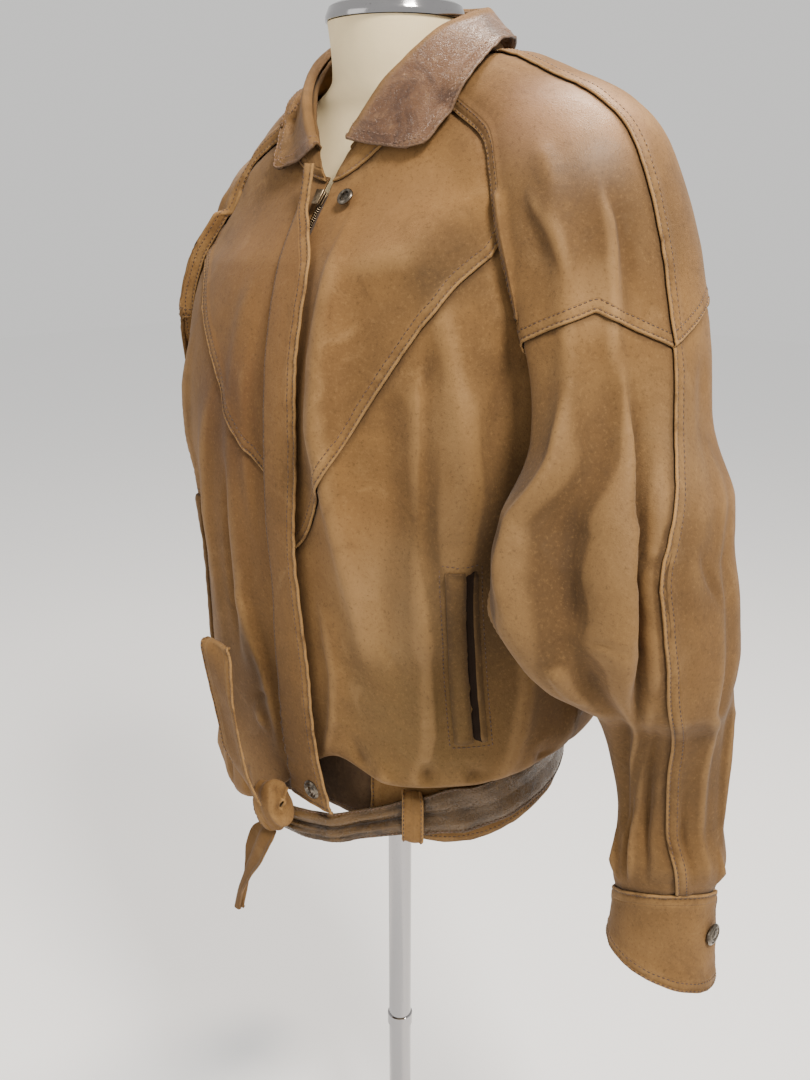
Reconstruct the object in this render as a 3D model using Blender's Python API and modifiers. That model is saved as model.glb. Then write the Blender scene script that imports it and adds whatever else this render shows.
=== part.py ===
"""Worn leather blouson jacket, zipped and belted, standing on a limbless dress form.

Frame: origin at the centre of the stand's underside, +Z up, the jacket faces -Y,
the wearer's left is +X. Heights named "drop line" are measured from the placket's
bottom edge, which hangs PLACKET_HEIGHT above the floor.
"""
import math
from collections import namedtuple

import bpy
import bmesh
from mathutils import Matrix, Vector
from mathutils.bvhtree import BVHTree
from mathutils.kdtree import KDTree

# driving sizes, metres
PLACKET_HEIGHT = 0.55      # placket's bottom edge above the floor
LEATHER = 0.0016           # one ply of garment leather
PLY = 0.0024               # two plies sewn together
SEAM_GAP = 0.0005          # between two pieces sewn to each other
SEAT_GAP = 0.0004          # between a piece and what it lies on
CREASE_RELIEF = 5          # how many gaps two panels draw apart where they fold back on each other
ZIP_HALF = 0.0034          # half the width left open for the zip's chain
WAISTBAND_HEIGHT = 0.062
CUFF_HEIGHT = 0.061
SNAP_RADIUS = 0.0085
NECK_RADIUS = 0.052
BASE_RADIUS = 0.15
POLE_RADIUS = 0.011

Ring = namedtuple("Ring", "v z half_width front back power")
BODY = [  # trunk sections; v runs up the cloth from the waistband's seam
    Ring(-0.040, 0.060, 0.156, 0.106, 0.108, 2.1),
    Ring(-0.024, 0.060, 0.171, 0.121, 0.123, 2.2),
    Ring(0.004, 0.053, 0.178, 0.127, 0.130, 2.3),
    Ring(0.032, 0.060, 0.186, 0.130, 0.136, 2.4),
    Ring(0.070, 0.083, 0.190, 0.130, 0.139, 2.4),
    Ring(0.130, 0.132, 0.189, 0.133, 0.138, 2.4),
    Ring(0.200, 0.200, 0.187, 0.138, 0.132, 2.4),
    Ring(0.260, 0.260, 0.189, 0.140, 0.128, 2.4),
    Ring(0.300, 0.300, 0.203, 0.139, 0.127, 2.4),
    Ring(0.340, 0.340, 0.207, 0.137, 0.126, 2.4),
    Ring(0.400, 0.400, 0.206, 0.129, 0.124, 2.3),
    Ring(0.449, 0.449, 0.200, 0.114, 0.119, 2.2),
    Ring(0.474, 0.474, 0.194, 0.097, 0.118, 2.2),
    Ring(0.505, 0.505, 0.184, 0.077, 0.114, 2.2),
    Ring(0.530, 0.530, 0.168, 0.068, 0.106, 2.2),
    Ring(0.565, 0.565, 0.112, 0.056, 0.087, 2.1),
    Ring(0.602, 0.602, 0.088, 0.050, 0.063, 2.0),
]
V_SEAM = BODY[0].v
LIP_ROWS = [row.v for row in BODY[:4]]
V_LIP = LIP_ROWS[2]
V_NECK_FRONT = 0.505
V_NECK_BACK = 0.602

Hem = namedtuple("Hem", "angle rim lip")
HEM = [  # waistband's lower edge and the lowest line of the cloth that hangs over it
    Hem(-180, 0.042, 0.088),
    Hem(-120, 0.020, 0.062),
    Hem(-75, -0.012, 0.004),
    Hem(-48, -0.022, -0.038),
    Hem(-20, -0.010, -0.010),
    Hem(0, 0.002, 0.030),
    Hem(22, 0.000, 0.064),
    Hem(40, -0.005, 0.052),
    Hem(58, -0.009, 0.058),
    Hem(90, 0.012, 0.074),
    Hem(120, 0.034, 0.086),
    Hem(180, 0.042, 0.088),
]

Fold = namedtuple("Fold", "angle v height width")
FOLDS = [  # the largest ridges (height > 0) and troughs of the trunk, each a path of points
    [Fold(17, 0.47, 0.002, 0.018), Fold(21, 0.40, 0.013, 0.018), Fold(21.5, 0.335, 0.022, 0.018),
     Fold(25, 0.275, 0.011, 0.020), Fold(31, 0.20, 0.006, 0.022), Fold(36, 0.13, 0.003, 0.024)],
    [Fold(24, 0.44, 0.004, 0.018), Fold(42, 0.46, 0.009, 0.018), Fold(58, 0.485, 0.005, 0.016)],
    [Fold(49, 0.36, 0.006, 0.016), Fold(52, 0.27, 0.010, 0.018), Fold(50, 0.19, 0.007, 0.020)],
    [Fold(41, 0.35, -0.005, 0.014), Fold(43, 0.27, -0.006, 0.014), Fold(40, 0.19, -0.003, 0.016)],
    [Fold(-20, 0.42, 0.003, 0.014), Fold(-21, 0.30, 0.006, 0.014), Fold(-20, 0.15, 0.006, 0.014)],
    [Fold(-36, 0.32, 0.002, 0.020), Fold(-42, 0.18, 0.002, 0.022), Fold(-40, 0.09, 0.005, 0.022)],
    [Fold(118, 0.36, 0.007, 0.022), Fold(128, 0.22, 0.010, 0.026), Fold(130, 0.10, 0.007, 0.026)],
    [Fold(-120, 0.36, 0.006, 0.022), Fold(-135, 0.22, 0.009, 0.026), Fold(-133, 0.10, 0.008, 0.026)],
    [Fold(160, 0.34, 0.005, 0.024), Fold(168, 0.20, 0.008, 0.026), Fold(172, 0.09, 0.006, 0.026)],
]

SeamPoint = namedtuple("SeamPoint", "v angle")
RAGLAN_FRONT = [
    SeamPoint(0.300, 90), SeamPoint(0.340, 79.5), SeamPoint(0.381, 71.7), SeamPoint(0.417, 67.5),
    SeamPoint(0.462, 66), SeamPoint(0.505, 67.8), SeamPoint(0.530, 68.8), SeamPoint(0.565, 60),
]
RAGLAN_BACK = [
    SeamPoint(0.300, 90), SeamPoint(0.360, 102), SeamPoint(0.420, 112), SeamPoint(0.480, 117),
    SeamPoint(0.550, 120), SeamPoint(0.597, 124.7),
]
DiagonalPoint = namedtuple("DiagonalPoint", "angle v")
DIAGONAL_LEFT = [
    DiagonalPoint(0, 0.224), DiagonalPoint(12.5, 0.247), DiagonalPoint(23.4, 0.303),
    DiagonalPoint(40.2, 0.377), DiagonalPoint(55, 0.434), DiagonalPoint(66, 0.462),
]
DIAGONAL_RIGHT = [
    DiagonalPoint(0, 0.283), DiagonalPoint(16.5, 0.314), DiagonalPoint(30.4, 0.357),
    DiagonalPoint(45, 0.402), DiagonalPoint(55, 0.436), DiagonalPoint(66, 0.462),
]

Arm = namedtuple("Arm", "s x y z azimuth rise lead out inner front back span v_front v_back")
ARM = [  # sleeve sections from the neck (s 0) by the cross seam (6) and underarm (8) to the cuff (17)
    Arm(0, 0.0707, 0.006, 0.556, 90, 78, 0, 0.036, 0.00, 0.045, 0.042, 0, 0.565, 0.597),
    Arm(1, 0.1012, 0.008, 0.538, 90, 74, 14, 0.051, 0.00, 0.058, 0.062, 0, 0.545, 0.580),
    Arm(2, 0.1256, 0.010, 0.516, 90, 66, 16, 0.063, 0.02, 0.068, 0.068, 0, 0.525, 0.560),
    Arm(3, 0.1440, 0.010, 0.495, 90, 50, 16, 0.078, 0.03, 0.078, 0.074, 4, 0.505, 0.530),
    Arm(4, 0.1500, 0.010, 0.481, 90, 32, 16, 0.086, 0.04, 0.086, 0.079, 8, 0.482, 0.495),
    Arm(5, 0.1620, 0.008, 0.455, 90, 12, 16, 0.086, 0.04, 0.092, 0.086, 14, 0.445, 0.450),
    Arm(6, 0.1860, -0.002, 0.399, 88, 3, 12, 0.078, 0.04, 0.096, 0.090, 26, 0.395, 0.395),
    Arm(7, 0.2100, -0.022, 0.345, 82, 0, 7, 0.068, 0.04, 0.096, 0.084, 50, 0.345, 0.345),
    Arm(8, 0.2440, -0.040, 0.300, 66, 0, 5, 0.060, 0.042, 0.094, 0.078, 90, 0.300, 0.300),
    Arm(9, 0.2520, -0.050, 0.268, 60, 0, 5, 0.060, 0.055, 0.096, 0.076, 90, 0.300, 0.300),
    Arm(10, 0.2580, -0.052, 0.235, 58, 0, 2, 0.057, 0.064, 0.096, 0.080, 90, 0.300, 0.300),
    Arm(11, 0.2620, -0.045, 0.198, 54, 0, 0, 0.056, 0.064, 0.084, 0.076, 90, 0.300, 0.300),
    Arm(12, 0.2640, -0.031, 0.165, 50, 0, 1, 0.058, 0.058, 0.062, 0.062, 90, 0.300, 0.300),
    Arm(13, 0.2670, -0.012, 0.138, 48, 0, 6, 0.047, 0.047, 0.046, 0.048, 90, 0.300, 0.300),
    Arm(14, 0.2710, -0.002, 0.100, 42, 0, 11, 0.042, 0.042, 0.041, 0.042, 90, 0.300, 0.300),
    Arm(15, 0.2750, 0.004, 0.050, 38, 0, 13, 0.040, 0.038, 0.038, 0.040, 90, 0.300, 0.300),
    Arm(16, 0.2770, 0.004, 0.012, 42, 0, 8, 0.044, 0.041, 0.041, 0.043, 90, 0.300, 0.300),
    Arm(17, 0.2770, 0.004, -0.014, 43, 0, 4, 0.039, 0.036, 0.038, 0.038, 90, 0.300, 0.300),
]
S_LOOSE = 3.5              # from here down the sleeve is kept clear of the trunk
S_CROSS = 6
S_UNDERARM = 8
S_CUFF = 17
CUFF_TILT = 0.020          # how much higher the cuff's seam is on the side facing front left
CHEVRON = 0.38             # how far the cross seam peaks up the sleeve, in rows of ARM
CUFF_RADIUS = 0.038
CUFF_FACING = 43           # azimuth towards which the cuffs flare
RIGHT_SWING = 0.118        # how far back the wearer's right sleeve hangs
RIGHT_TUCK = 0.031         # how much closer it hangs
RIGHT_DROP = 0.015         # how much lower the jacket sits at the right side of the neck
RIGHT_SLUMP = 0.037        # how much lower the right shoulder sits
RAGLAN_STEPS = [0, 1, 2.1, 3.3, 4.5, 5.25, 6, 6.7, 7.5, 8]
DIAGONAL_STEP = 4          # the entry of RAGLAN_STEPS where the diagonal seam ends
CROSS_STEP = 6             # the entry where the sleeve's cross seam ends
SIDE_SEAM = LIP_ROWS + [0.100, 0.170, 0.235, 0.282]
FRONT_COLUMNS = 9
BACK_COLUMNS = 14
ARM_COLUMNS = 6
BAND_SPLIT = 3             # columns of the waistband's two short front pieces
ARM_CLEARANCE = 0.006      # between a sleeve and the trunk it hangs against
CREASE_CLEARANCE = 0.006   # how much more they part just below the underarm
ROLL_RISE = 0.005          # how far the collar's roll stands above the stand's seam
LEAF_CLEARANCE = 0.0040    # between the collar's leaf and the shoulders it falls on

SleeveFold = namedtuple("SleeveFold", "turn s height width")
SLEEVE_FOLDS = [  # ridges and troughs along the sleeve; turn 0 is the front seam, 0.5 the over-arm seam
    [SleeveFold(0.25, 3.5, 0.003, 0.016), SleeveFold(0.27, 6, 0.007, 0.016),
     SleeveFold(0.31, 9, 0.010, 0.017), SleeveFold(0.33, 11.5, 0.008, 0.017)],
    [SleeveFold(0.36, 6.5, -0.007, 0.013), SleeveFold(0.37, 9, -0.014, 0.013),
     SleeveFold(0.40, 12, -0.011, 0.011), SleeveFold(0.34, 15, -0.004, 0.010)],
    [SleeveFold(0.60, 6.5, -0.003, 0.014), SleeveFold(0.62, 9, -0.008, 0.015),
     SleeveFold(0.62, 12, -0.006, 0.013)],
]

Placket = namedtuple("Placket", "z depth left right")
PLACKET = [
    Placket(0.518, 0.0860, -0.018, -0.0065),
    Placket(0.492, 0.0930, -0.018, -0.0050),
    Placket(0.470, 0.1070, -0.016, 0.0100),
    Placket(0.446, 0.1210, -0.013, 0.0240),
    Placket(0.400, 0.1360, -0.010, 0.0290),
    Placket(0.339, 0.1435, -0.009, 0.0290),
    Placket(0.262, 0.1460, -0.008, 0.0290),
    Placket(0.198, 0.1440, -0.006, 0.0300),
    Placket(0.130, 0.1395, -0.009, 0.0315),
    Placket(0.075, 0.1365, -0.009, 0.0350),
    Placket(0.036, 0.1330, -0.007, 0.0410),
    Placket(0.013, 0.1300, -0.006, 0.0470),
]

PLACKET_UP = PLACKET[::-1]
PLACKET_SWELL = 0.0015
SNAP_HEIGHT = 0.028
SOCKET_PLACE = (19, 0.492)  # angle and v on the left front
SLIDER_Z = 0.492
SLIDER_SIZE = (0.0075, 0.0042, 0.011)
SLIDER_SHIFT = 0.0012       # the slider sits a little to the wearer's left of the chain
PULL_SIZE = (0.0078, 0.0016, 0.0125)
STOP_SIZE = (0.0075, 0.0042, 0.009)

Collar = namedtuple("Collar", "t roll_angle roll_radius roll_z leaf_angle leaf_radius leaf_z")
COLLAR_LEFT = [  # from the front end (t 0) round to the centre back (t 1)
    Collar(0.00, 14, 0.0790, 0.535, 50, 0.1110, 0.5240),
    Collar(0.22, 36, 0.0740, 0.577, 67, 0.1120, 0.5640),
    Collar(0.50, 68, 0.0670, 0.610, 90, 0.0980, 0.6020),
    Collar(0.75, 112, 0.0630, 0.625, 120, 0.0860, 0.6060),
    Collar(1.00, 180, 0.0590, 0.635, 180, 0.0860, 0.5830),
]
COLLAR_RIGHT = [
    Collar(0.00, 9, 0.0800, 0.529, 40, 0.1040, 0.5110),
    Collar(0.22, 34, 0.0735, 0.566, 54, 0.0920, 0.5300),
    Collar(0.50, 68, 0.0665, 0.597, 84, 0.0830, 0.5560),
    Collar(0.75, 112, 0.0630, 0.620, 120, 0.0830, 0.5850),
    Collar(1.00, 180, 0.0590, 0.635, 180, 0.0860, 0.5830),
]
NECK_CENTRE_Y = 0.004

POCKET_LOW, POCKET_HIGH = 0.089, 0.242   # v of the mouth's two ends
POCKET_ANGLE = 52.8        # front edge of the welt at the mouth's upper end
POCKET_SLANT = 4.0         # how much farther round its lower end lies
POCKET_TURN = 7.6          # width of welt, mouth and facing together, in degrees
Lip = namedtuple("Lip", "first last rise columns")
POCKET_LIPS = {"welt": Lip(0.0, 0.62, 0.0023, 3), "facing": Lip(0.74, 1.0, 0.0022, 2)}

CUFF_LAP = 116             # azimuth at which the cuff's outer end lies over its inner end
CUFF_TURN = 388            # degrees that the cuff's leather runs round the wrist

BeltRow = namedtuple("BeltRow", "angle centre height stand_off roll")
BELT = [  # centre is above the waistband's rim; roll is how much the strap crumples outward
    BeltRow(-180, 0.031, 0.040, 0.0032, 0.000),
    BeltRow(-90, 0.029, 0.040, 0.0032, 0.001),
    BeltRow(-50, 0.020, 0.034, 0.0032, 0.001),
    BeltRow(-24, 0.004, 0.028, 0.0090, 0.002),
    BeltRow(-13, -0.006, 0.024, 0.0190, 0.003),
    BeltRow(-3, -0.010, 0.024, 0.0260, 0.004),
    BeltRow(16, -0.006, 0.026, 0.0210, 0.004),
    BeltRow(32, 0.008, 0.028, 0.0110, 0.004),
    BeltRow(47, 0.022, 0.034, 0.0050, 0.003),
    BeltRow(62, 0.032, 0.040, 0.0035, 0.002),
    BeltRow(90, 0.032, 0.040, 0.0032, 0.001),
    BeltRow(180, 0.031, 0.040, 0.0032, 0.000),
]
LOOP_ANGLES = {"front_left": 47, "back_left": 140, "front_right": -60, "back_right": -140}
LOOP_WIDTH = 0.018
LOOP_LEATHER = 0.0014
BELT_LEATHER = 0.0018
BELT_START, BELT_END = -3, 341

KNOT_CENTRE = (-0.005, -0.151, 0.009)
KNOT_RADII = (0.019, 0.0125, 0.023)
KNOT_LEAN = -30
StrapRow = namedtuple("StrapRow", "x y z width turn")
BELT_END_UP = [  # a strap's line; turn is how far it faces away from the front, in degrees
    StrapRow(-0.0125, -0.1634, 0.0203, 0.034, 20), StrapRow(-0.027, -0.172, 0.056, 0.040, 14),
    StrapRow(-0.039, -0.172, 0.104, 0.043, 8), StrapRow(-0.047, -0.170, 0.141, 0.040, 4),
    StrapRow(-0.049, -0.166, 0.1475, 0.037, 4), StrapRow(-0.049, -0.160, 0.145, 0.036, 4),
    StrapRow(-0.047, -0.158, 0.124, 0.036, 4), StrapRow(-0.042, -0.158, 0.086, 0.034, 4),
]
BELT_END_DOWN = [
    StrapRow(-0.011, -0.1500, -0.0143, 0.022, 10), StrapRow(-0.015, -0.156, -0.021, 0.032, 10),
    StrapRow(-0.022, -0.160, -0.040, 0.034, 16), StrapRow(-0.031, -0.161, -0.062, 0.026, 30),
    StrapRow(-0.042, -0.160, -0.088, 0.015, 45), StrapRow(-0.051, -0.158, -0.112, 0.005, 50),
]

FormRing = namedtuple("FormRing", "z half_width half_depth centre_y")
FORM = [
    FormRing(0.105, 0.128, 0.100, 0.000), FormRing(0.180, 0.122, 0.094, 0.000),
    FormRing(0.260, 0.128, 0.098, 0.000), FormRing(0.360, 0.150, 0.108, 0.000),
    FormRing(0.440, 0.160, 0.098, 0.006), FormRing(0.490, 0.165, 0.080, 0.012),
    FormRing(0.520, 0.161, 0.066, 0.012), FormRing(0.545, 0.134, 0.056, 0.010),
    FormRing(0.562, 0.090, 0.051, 0.006), FormRing(0.580, 0.0555, 0.051, 0.003),
    FormRing(0.600, NECK_RADIUS, 0.0515, 0.000), FormRing(0.619, 0.0505, 0.0505, -0.005),
]
BASE_TOP = 0.030
# turned profiles, each a row of (radius, height) from the axis down the outer side
CAP_PROFILE = ((0, 0.0034), (0.45, 0.0033), (0.62, 0.0024), (0.80, 0.0032), (1.0, 0.0018), (1.0, 0), (0, 0))
SOCKET_PROFILE = (
    (0.0026, 0.0022), (0.0048, 0.0028), (0.0066, 0.0016), (0.0066, 0), (0.0026, 0), (0.0026, 0.0022),
)
NECK_CAP_PROFILE = ((0, 0.016), (0.035, 0.0145), (0.050, 0.010), (0.0530, 0.004), (0.0530, 0), (0, 0))
BASE_PROFILE = (
    (0, BASE_TOP), (0.017, BASE_TOP), (0.020, BASE_TOP - 0.003), (0.020, 0.016), (BASE_RADIUS - 0.02, 0.011),
    (BASE_RADIUS - 0.002, 0.008), (BASE_RADIUS, 0.005), (BASE_RADIUS, 0), (0, 0),
)


def steps(first, last, count):
    """count + 1 evenly spaced values."""
    return [first + (last - first) * i / count for i in range(count + 1)]


def slopes(keys, values):
    """Slopes that keep a cubic through the values from overshooting."""
    secants = [(b - a) / (q - p) for p, q, a, b in zip(keys, keys[1:], values, values[1:])]
    inner = [0.0 if m * n <= 0 else 2 * m * n / (m + n) for m, n in zip(secants, secants[1:])]
    return [secants[0]] + inner + [secants[-1]]


def column(rows, key, name, value):
    """A named column read between the rows of a table by a smooth curve."""
    keys = [getattr(row, key) for row in rows]
    values = [getattr(row, name) for row in rows]
    value = min(max(value, keys[0]), keys[-1])
    i = max(k for k in range(len(keys) - 1) if keys[k] <= value)
    tangents = slopes(keys, values)
    span = keys[i + 1] - keys[i]
    t = (value - keys[i]) / span
    rest = 1 - t
    start = values[i] * (1 + 2 * t) * rest * rest + tangents[i] * span * t * rest * rest
    end = values[i + 1] * t * t * (3 - 2 * t) - tangents[i + 1] * span * t * t * rest
    return start + end


def ease(value):
    value = min(max(value, 0.0), 1.0)
    return value * value * (3 - 2 * value)


def wrap(angle):
    """The same angle between -180 and 180 degrees."""
    return (angle + 180) % 360 - 180


def direction(azimuth, rise=0):
    """Unit vector; azimuth 0 points to the front (-Y) and 90 to the wearer's left (+X)."""
    flat = math.cos(math.radians(rise))
    turn = math.radians(azimuth)
    return Vector((flat * math.sin(turn), -flat * math.cos(turn), math.sin(math.radians(rise))))


def fold_height(path, across, along, to_metres_across, to_metres_along, names):
    """Height of a fold at a place; each stretch of its path is a soft Gaussian ridge."""
    best = 0.0
    for a, b in zip(path, path[1:]):
        ax, ay = getattr(a, names[0]) * to_metres_across, getattr(a, names[1]) * to_metres_along
        bx, by = getattr(b, names[0]) * to_metres_across, getattr(b, names[1]) * to_metres_along
        px, py = across * to_metres_across - ax, along * to_metres_along - ay
        dx, dy = bx - ax, by - ay
        t = min(max((px * dx + py * dy) / (dx * dx + dy * dy), 0.0), 1.0)
        gap = math.hypot(px - t * dx, py - t * dy)
        width = a.width + (b.width - a.width) * t
        height = (a.height + (b.height - a.height) * t) * math.exp(-(gap / width) ** 2)
        if abs(height) > abs(best):
            best = height
    return best


def body_point(angle, v):
    """A point of the trunk's outer surface."""
    angle = wrap(angle)
    facing = math.radians(angle)
    width = column(BODY, "v", "half_width", v)
    depth = column(BODY, "v", "front" if abs(angle) <= 90 else "back", v)
    power = column(BODY, "v", "power", v)
    reach = (abs(math.sin(facing)) / width) ** power + (abs(math.cos(facing)) / depth) ** power
    radius = reach ** (-1 / power)
    radius += sum(fold_height(path, angle, v, 0.0029, 1.0, ("angle", "v")) for path in FOLDS)
    z = column(BODY, "v", "z", v)
    lip = column(HEM, "angle", "lip", angle) - BODY[2].z
    seam = column(HEM, "angle", "rim", angle) + WAISTBAND_HEIGHT - BODY[0].z
    hang = 1 - ease((v - V_LIP) / 0.22)
    tuck = 1 - ease((v - LIP_ROWS[1]) / (V_LIP - LIP_ROWS[1]))
    z += (lip * (1 - tuck) + seam * tuck) * hang
    if angle < 0:
        z -= RIGHT_DROP * ease((v - 0.36) / 0.16) * ease(-angle / 60) * ease((180 + angle) / 60)
    return Vector((radius * math.sin(facing), -radius * math.cos(facing), z))


def band_point(angle, drop, lift=0.0):
    """A point of the waistband; drop runs from 0 at its seam to 1 at its rim."""
    top = body_point(angle, V_SEAM)
    rim = column(HEM, "angle", "rim", wrap(angle))
    outward = Vector((top.x, top.y, 0)).normalized()
    point = top + outward * (0.003 * drop + lift)
    point.z = top.z + (rim - top.z) * drop
    return point


def centre_angle(v, side):
    """The angle at which a front's edge stops beside the zip."""
    return side * math.degrees(math.atan2(ZIP_HALF, column(BODY, "v", "front", v)))


def arm_point(side, turn, s):
    """A point of a sleeve's outer surface; side is 1 for the wearer's left and -1 for the right."""
    row = {name: column(ARM, "s", name, s) for name in Arm._fields[1:]}
    slump = RIGHT_DROP + (RIGHT_SLUMP - RIGHT_DROP) * ease(s / 2.5) if side < 0 else 0.0
    swing = RIGHT_SWING * ease((s - 2.5) / 7) if side < 0 else 0.0
    tuck = RIGHT_TUCK * ease(s / 4) if side < 0 else 0.0
    centre = Vector((row["x"] - tuck, row["y"] + swing, row["z"] - slump))
    outward = direction(row["azimuth"], row["rise"])
    forward = direction(row["azimuth"] - 90)
    lead = row["lead"] * math.sin(math.pi * turn)
    psi = math.radians(-row["span"] + turn * (180 + 2 * row["span"]) - lead)

    def ring(angle):
        ahead, outer = math.cos(angle), math.sin(angle)
        reach = row["front"] if ahead > 0 else row["back"]
        depth = row["out"] if outer > 0 else row["inner"]
        return centre + forward * (reach * ahead) + outward * (depth * outer)

    point = ring(psi)
    point.z += CUFF_TILT * ease((s - 13) / 4) * math.cos(psi - math.pi / 2)
    bulge = sum(fold_height(path, turn, s, 0.42, 0.042, ("turn", "s")) for path in SLEEVE_FOLDS)
    hub = Vector((centre.x, centre.y, point.z if s >= S_CROSS else centre.z))
    point += (point - hub).normalized() * bulge * ease(turn / 0.12) * ease((1 - turn) / 0.12)
    fade = 1 - ease((s - S_UNDERARM) / 3)
    if fade > 0:
        v_front, v_back = row["v_front"], row["v_back"]
        front = body_point(column(RAGLAN_FRONT, "v", "angle", v_front), v_front)
        back = body_point(column(RAGLAN_BACK, "v", "angle", v_back), v_back)
        if side < 0:
            front = body_point(-column(RAGLAN_FRONT, "v", "angle", v_front), v_front)
            back = body_point(-column(RAGLAN_BACK, "v", "angle", v_back), v_back)
            front.x, back.x = -front.x, -back.x
        start = ring(math.radians(-row["span"]))
        end = ring(math.radians(180 + row["span"]))
        pull = (front - start) * (1 - turn) ** 4 + (back - end) * turn ** 4
        if s > S_UNDERARM:
            pull.z = 0.0
        point += pull * fade
    point.x *= side
    return point


def resample(points, count):
    """The path of parameter pairs at evenly spaced steps along its own polyline."""
    lengths = [0.0]
    for a, b in zip(points, points[1:]):
        lengths.append(lengths[-1] + math.hypot((b[0] - a[0]) * 0.0029, b[1] - a[1]))
    result = []
    for target in steps(0, lengths[-1], count):
        i = max(k for k in range(len(lengths) - 1) if lengths[k] <= target + 1e-12)
        t = (target - lengths[i]) / (lengths[i + 1] - lengths[i])
        a, b = points[i], points[i + 1]
        result.append((a[0] + (b[0] - a[0]) * t, a[1] + (b[1] - a[1]) * t))
    return result


def patch(bottom, top, left, right):
    """Rows of parameter pairs that fill four edges; bottom and top run left to right."""
    rows = []
    for j in range(len(left)):
        v = (left[j][1] - left[0][1]) / (left[-1][1] - left[0][1])
        row = []
        for i in range(len(bottom)):
            u = i / (len(bottom) - 1)
            pair = []
            for k in range(2):
                ruled = left[j][k] * (1 - u) + right[j][k] * u + bottom[i][k] * (1 - v) + top[i][k] * v
                corners = (bottom[0][k] * (1 - u) + bottom[-1][k] * u) * (1 - v)
                corners += (top[0][k] * (1 - u) + top[-1][k] * u) * v
                pair.append(ruled - corners)
            row.append(tuple(pair))
        rows.append(row)
    return rows


def material(name, colour, roughness, metallic=0.0):
    result = bpy.data.materials.new(name)
    result.use_nodes = True
    shader = result.node_tree.nodes["Principled BSDF"]
    shader.inputs["Base Color"].default_value = (*colour, 1.0)
    shader.inputs["Roughness"].default_value = roughness
    shader.inputs["Metallic"].default_value = metallic
    return result


TAN = (0.30, 0.17, 0.075)
WINE = (0.085, 0.040, 0.026)
PEWTER = (0.16, 0.14, 0.12)
CHROME = (0.72, 0.73, 0.75)
COVER = (0.74, 0.66, 0.50)


def add_object(name, mesh, colour, roughness=0.8, metallic=0.0):
    thing = bpy.data.objects.new(name, mesh)
    mesh.materials.clear()
    mesh.materials.append(material(name, colour, roughness, metallic))
    jacket.objects.link(thing)
    return thing


def grid_normals(grids):
    """Mean normals for the points of several grids, shared wherever their points coincide.

    A shared normal is shorter than 1 by as much as the panels that meet there are creased.
    """
    sums = []
    for grid in grids:
        normals = [[Vector() for _ in row] for row in grid]
        for j in range(len(grid) - 1):
            for i in range(len(grid[0]) - 1):
                a, b = grid[j][i], grid[j][i + 1]
                c, d = grid[j + 1][i + 1], grid[j + 1][i]
                face = (c - a).cross(d - b)
                for y, x in ((j, i), (j, i + 1), (j + 1, i + 1), (j + 1, i)):
                    normals[y][x] += face
        sums.append([[normal.normalized() for normal in row] for row in normals])
    tree = KDTree(sum(len(grid) * len(grid[0]) for grid in grids))
    flat = []
    for grid, normals in zip(grids, sums):
        for points, row in zip(grid, normals):
            for point, normal in zip(points, row):
                tree.insert(point, len(flat))
                flat.append(normal)
    tree.balance()
    result = []
    for grid in grids:
        lines = []
        for row in grid:
            near = [[flat[i] for _, i, _ in tree.find_range(point, 1e-5)] for point in row]
            lines.append([sum(normals, Vector()) / len(normals) for normals in near])
        result.append(lines)
    return result


def inset(grid, normals, gap):
    """The grid with its four edges moved inward on the surface, so that seams keep a gap.

    Where a seam lies in a crease, each panel also draws back from its own outer side.
    """
    own = grid_normals([grid])[0]
    last_row, last_column = len(grid) - 1, len(grid[0]) - 1
    result = [[point.copy() for point in row] for row in grid]
    for j in range(last_row + 1):
        for i in range(last_column + 1):
            ways = []
            if j in (0, last_row):
                run = grid[j][min(i + 1, last_column)] - grid[j][max(i - 1, 0)]
                inner = grid[1 if j == 0 else last_row - 1][i] - grid[j][i]
                ways.append((run, inner))
            if i in (0, last_column):
                run = grid[min(j + 1, last_row)][i] - grid[max(j - 1, 0)][i]
                inner = grid[j][1 if i == 0 else last_column - 1] - grid[j][i]
                ways.append((run, inner))
            moves = []
            for run, inner in ways:
                normal = normals[j][i].normalized()
                across = normal.cross(run.normalized())
                if across.length < 0.6:
                    across = inner - normal * inner.dot(normal)
                across = across.normalized()
                moves.append(across if across.dot(inner) > 0 else -across)
            straightness = normals[j][i].length
            if ways:
                result[j][i] -= own[j][i] * (gap * CREASE_RELIEF * (1 - straightness))
            room = gap / max(straightness, 0.3)
            if len(moves) == 1:
                result[j][i] += moves[0] * room
            elif moves:
                result[j][i] += (moves[0] + moves[1]) * (room / max(1 + moves[0].dot(moves[1]), 0.35))
    return result


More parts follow.
